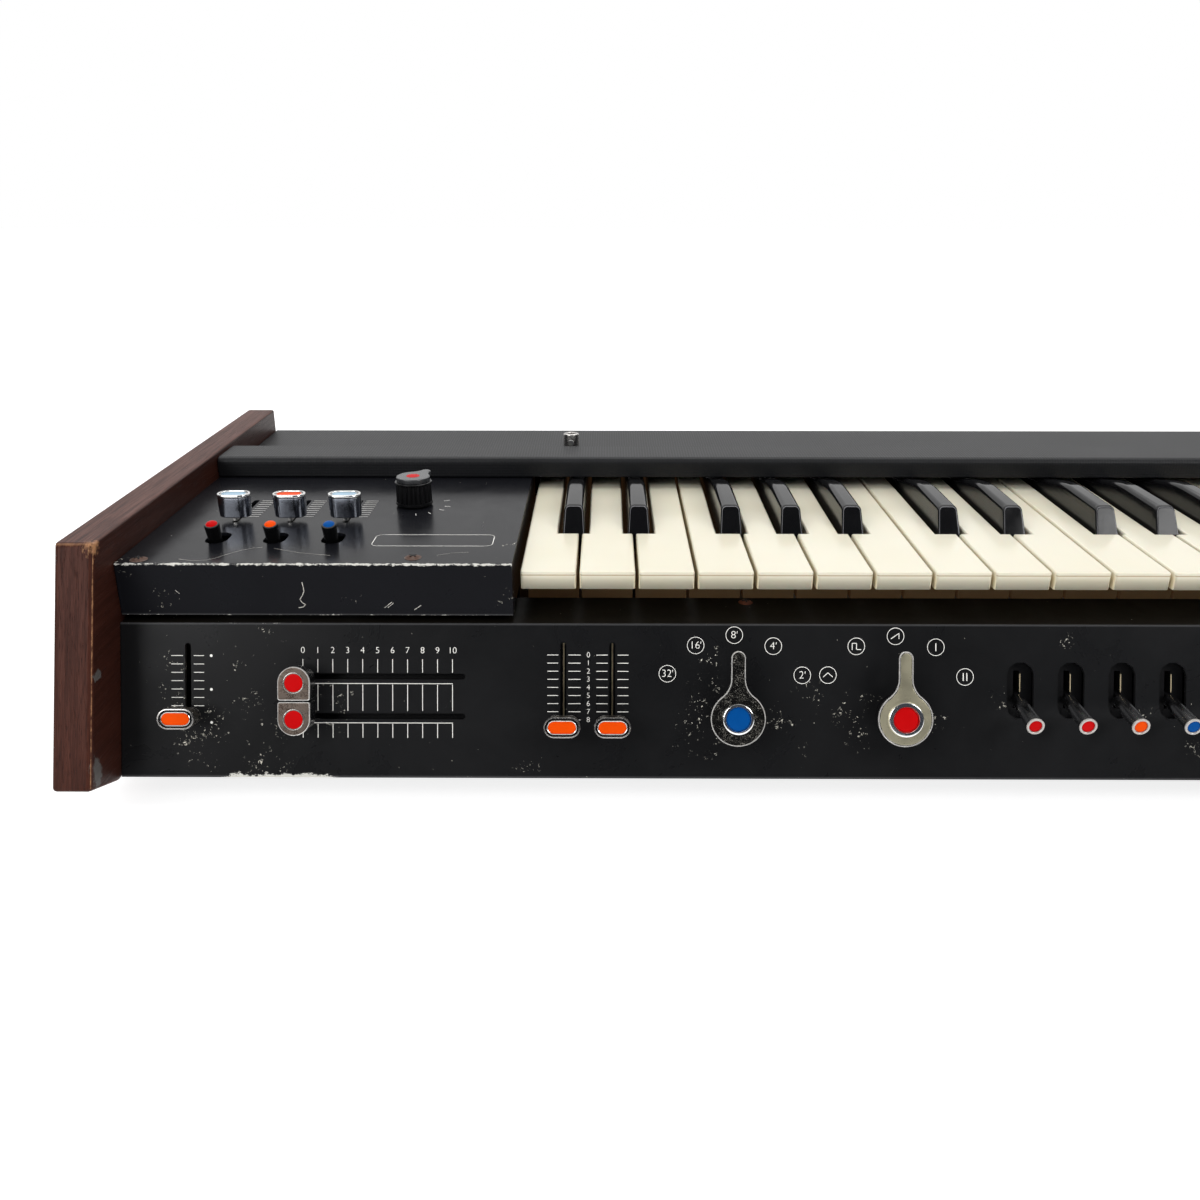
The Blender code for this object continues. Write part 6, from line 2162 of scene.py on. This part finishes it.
@dataclass
class Studio:
    """A pale floor, soft lights, a room that is dark in front and bright behind, and the camera."""

    eye: tuple[float, float, float] = (-0.1616, -0.4984, 0.2398)
    pitch: float = math.atan(437 / 1110)
    yaw: float = math.radians(0.346)
    lens: float = 33.3
    dark: Colour = (0.040, 0.045, 0.055)
    bright: Colour = (0.86, 0.86, 0.86)
    lamps: tuple[tuple, ...] = (
        ("key_light", (1.05, -1.02, 1.06), (-0.15, -0.05, 0.05), (0.7, 0.7), 11.0),
        ("overhead", (-0.1, 0.10, 1.5), (-0.1, 0.05, 0.05), (2.0, 0.8), 8.6),
        ("left_fill", (-1.05, -1.10, 0.82), (-0.20, -0.05, 0.05), (0.9, 0.9), 10.5),
        ("floor_wash", (-0.2, 1.9, 1.7), (-0.2, 1.9, 0.0), (3.2, 1.6), 26.0),
    )

    def floor(self, bench: Bench) -> None:
        """Makes the floor.

        Args:
            bench: keeps the floor's material.
        """
        form = Form()
        bmesh.ops.create_grid(form.bm, x_segments=2, y_segments=2, size=4.0)
        mesh = bpy.data.meshes.new("floor")
        form.bm.to_mesh(mesh)
        form.bm.free()
        floor = bpy.data.objects.new("floor", mesh)
        bpy.context.scene.collection.objects.link(floor)
        mesh.materials.append(bench.material(FloorFinish()))

    def light(self, name: str, place: Sequence[float], target: Sequence[float], size: Point,
              power: float) -> None:
        """Hangs one area light.

        Args:
            name: its name.
            place: where it hangs.
            target: what it faces.
            size: its width and height.
            power: its watts.
        """
        lamp = bpy.data.lights.new(name, "AREA")
        lamp.shape = "RECTANGLE"
        lamp.size, lamp.size_y = size
        lamp.energy = power
        holder = bpy.data.objects.new(name, lamp)
        holder.location = place
        holder.rotation_euler = (Vector(target) - Vector(place)).to_track_quat("-Z", "Y").to_euler()
        bpy.context.scene.collection.objects.link(holder)

    def camera(self) -> None:
        """Sets the photograph's camera."""
        data = bpy.data.cameras.new("camera")
        data.lens = self.lens
        data.sensor_width = 36.0
        data.clip_start = 0.01
        camera = bpy.data.objects.new("camera", data)
        camera.location = self.eye
        camera.rotation_euler = Euler((math.pi / 2 - self.pitch, 0.0, self.yaw))
        bpy.context.scene.collection.objects.link(camera)
        bpy.context.scene.camera = camera

    def room(self) -> None:
        """Makes a white backdrop, and for the reflections a room that brightens upwards and to the rear."""
        world = bpy.data.worlds.new("studio")
        world.use_nodes = True
        nodes, links = world.node_tree.nodes, world.node_tree.links
        split = nodes.new("ShaderNodeSeparateXYZ")
        links.new(nodes.new("ShaderNodeTexCoord").outputs["Generated"], split.inputs[0])
        total = nodes.new("ShaderNodeMath")
        total.operation = "ADD"
        for place, (axis, weight) in enumerate((("Y", 0.8), ("Z", 0.9))):
            part = nodes.new("ShaderNodeMath")
            part.operation = "MULTIPLY"
            part.inputs[1].default_value = weight
            links.new(split.outputs[axis], part.inputs[0])
            links.new(part.outputs[0], total.inputs[place])
        share = nodes.new("ShaderNodeMapRange")
        share.clamp = True
        share.inputs["From Min"].default_value = 0.30
        share.inputs["From Max"].default_value = 0.85
        links.new(total.outputs[0], share.inputs["Value"])
        shades = []
        for factor, first, second in (
            (share.outputs[0], self.dark, self.bright),
            (nodes.new("ShaderNodeLightPath").outputs["Is Camera Ray"], None, (1.0, 1.0, 1.0)),
        ):
            mix = nodes.new("ShaderNodeMix")
            mix.data_type = "RGBA"
            links.new(factor, mix.inputs["Factor"])
            if first is None:
                links.new(shades[-1], mix.inputs[6])
            else:
                mix.inputs[6].default_value = (*first, 1.0)
            mix.inputs[7].default_value = (*second, 1.0)
            shades.append(mix.outputs[2])
        links.new(shades[-1], nodes["Background"].inputs["Color"])
        bpy.context.scene.world = world

    def build(self, bench: Bench) -> None:
        """Sets the whole stage.

        Args:
            bench: keeps the floor's material.
        """
        bpy.context.scene.view_settings.view_transform = "Standard"
        self.floor(bench)
        self.camera()
        self.room()
        for lamp in self.lamps:
            self.light(*lamp)


def main() -> None:
    """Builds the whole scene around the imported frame."""
    logging.basicConfig(level=logging.INFO, format="%(message)s")
    bench = Bench(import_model())
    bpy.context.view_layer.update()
    Case(bench).build()
    StandPost(bench, -0.180, "left_stand_post").build()
    StandPost(bench, 0.180, "right_stand_post").build()
    Keyboard(bench).build()
    ControlPanel(bench).build()
    EffectsPanel(bench).build()
    Studio().build(bench)
    LOG.info("%d pieces", bench.count)


if __name__ == "__main__":
    main()
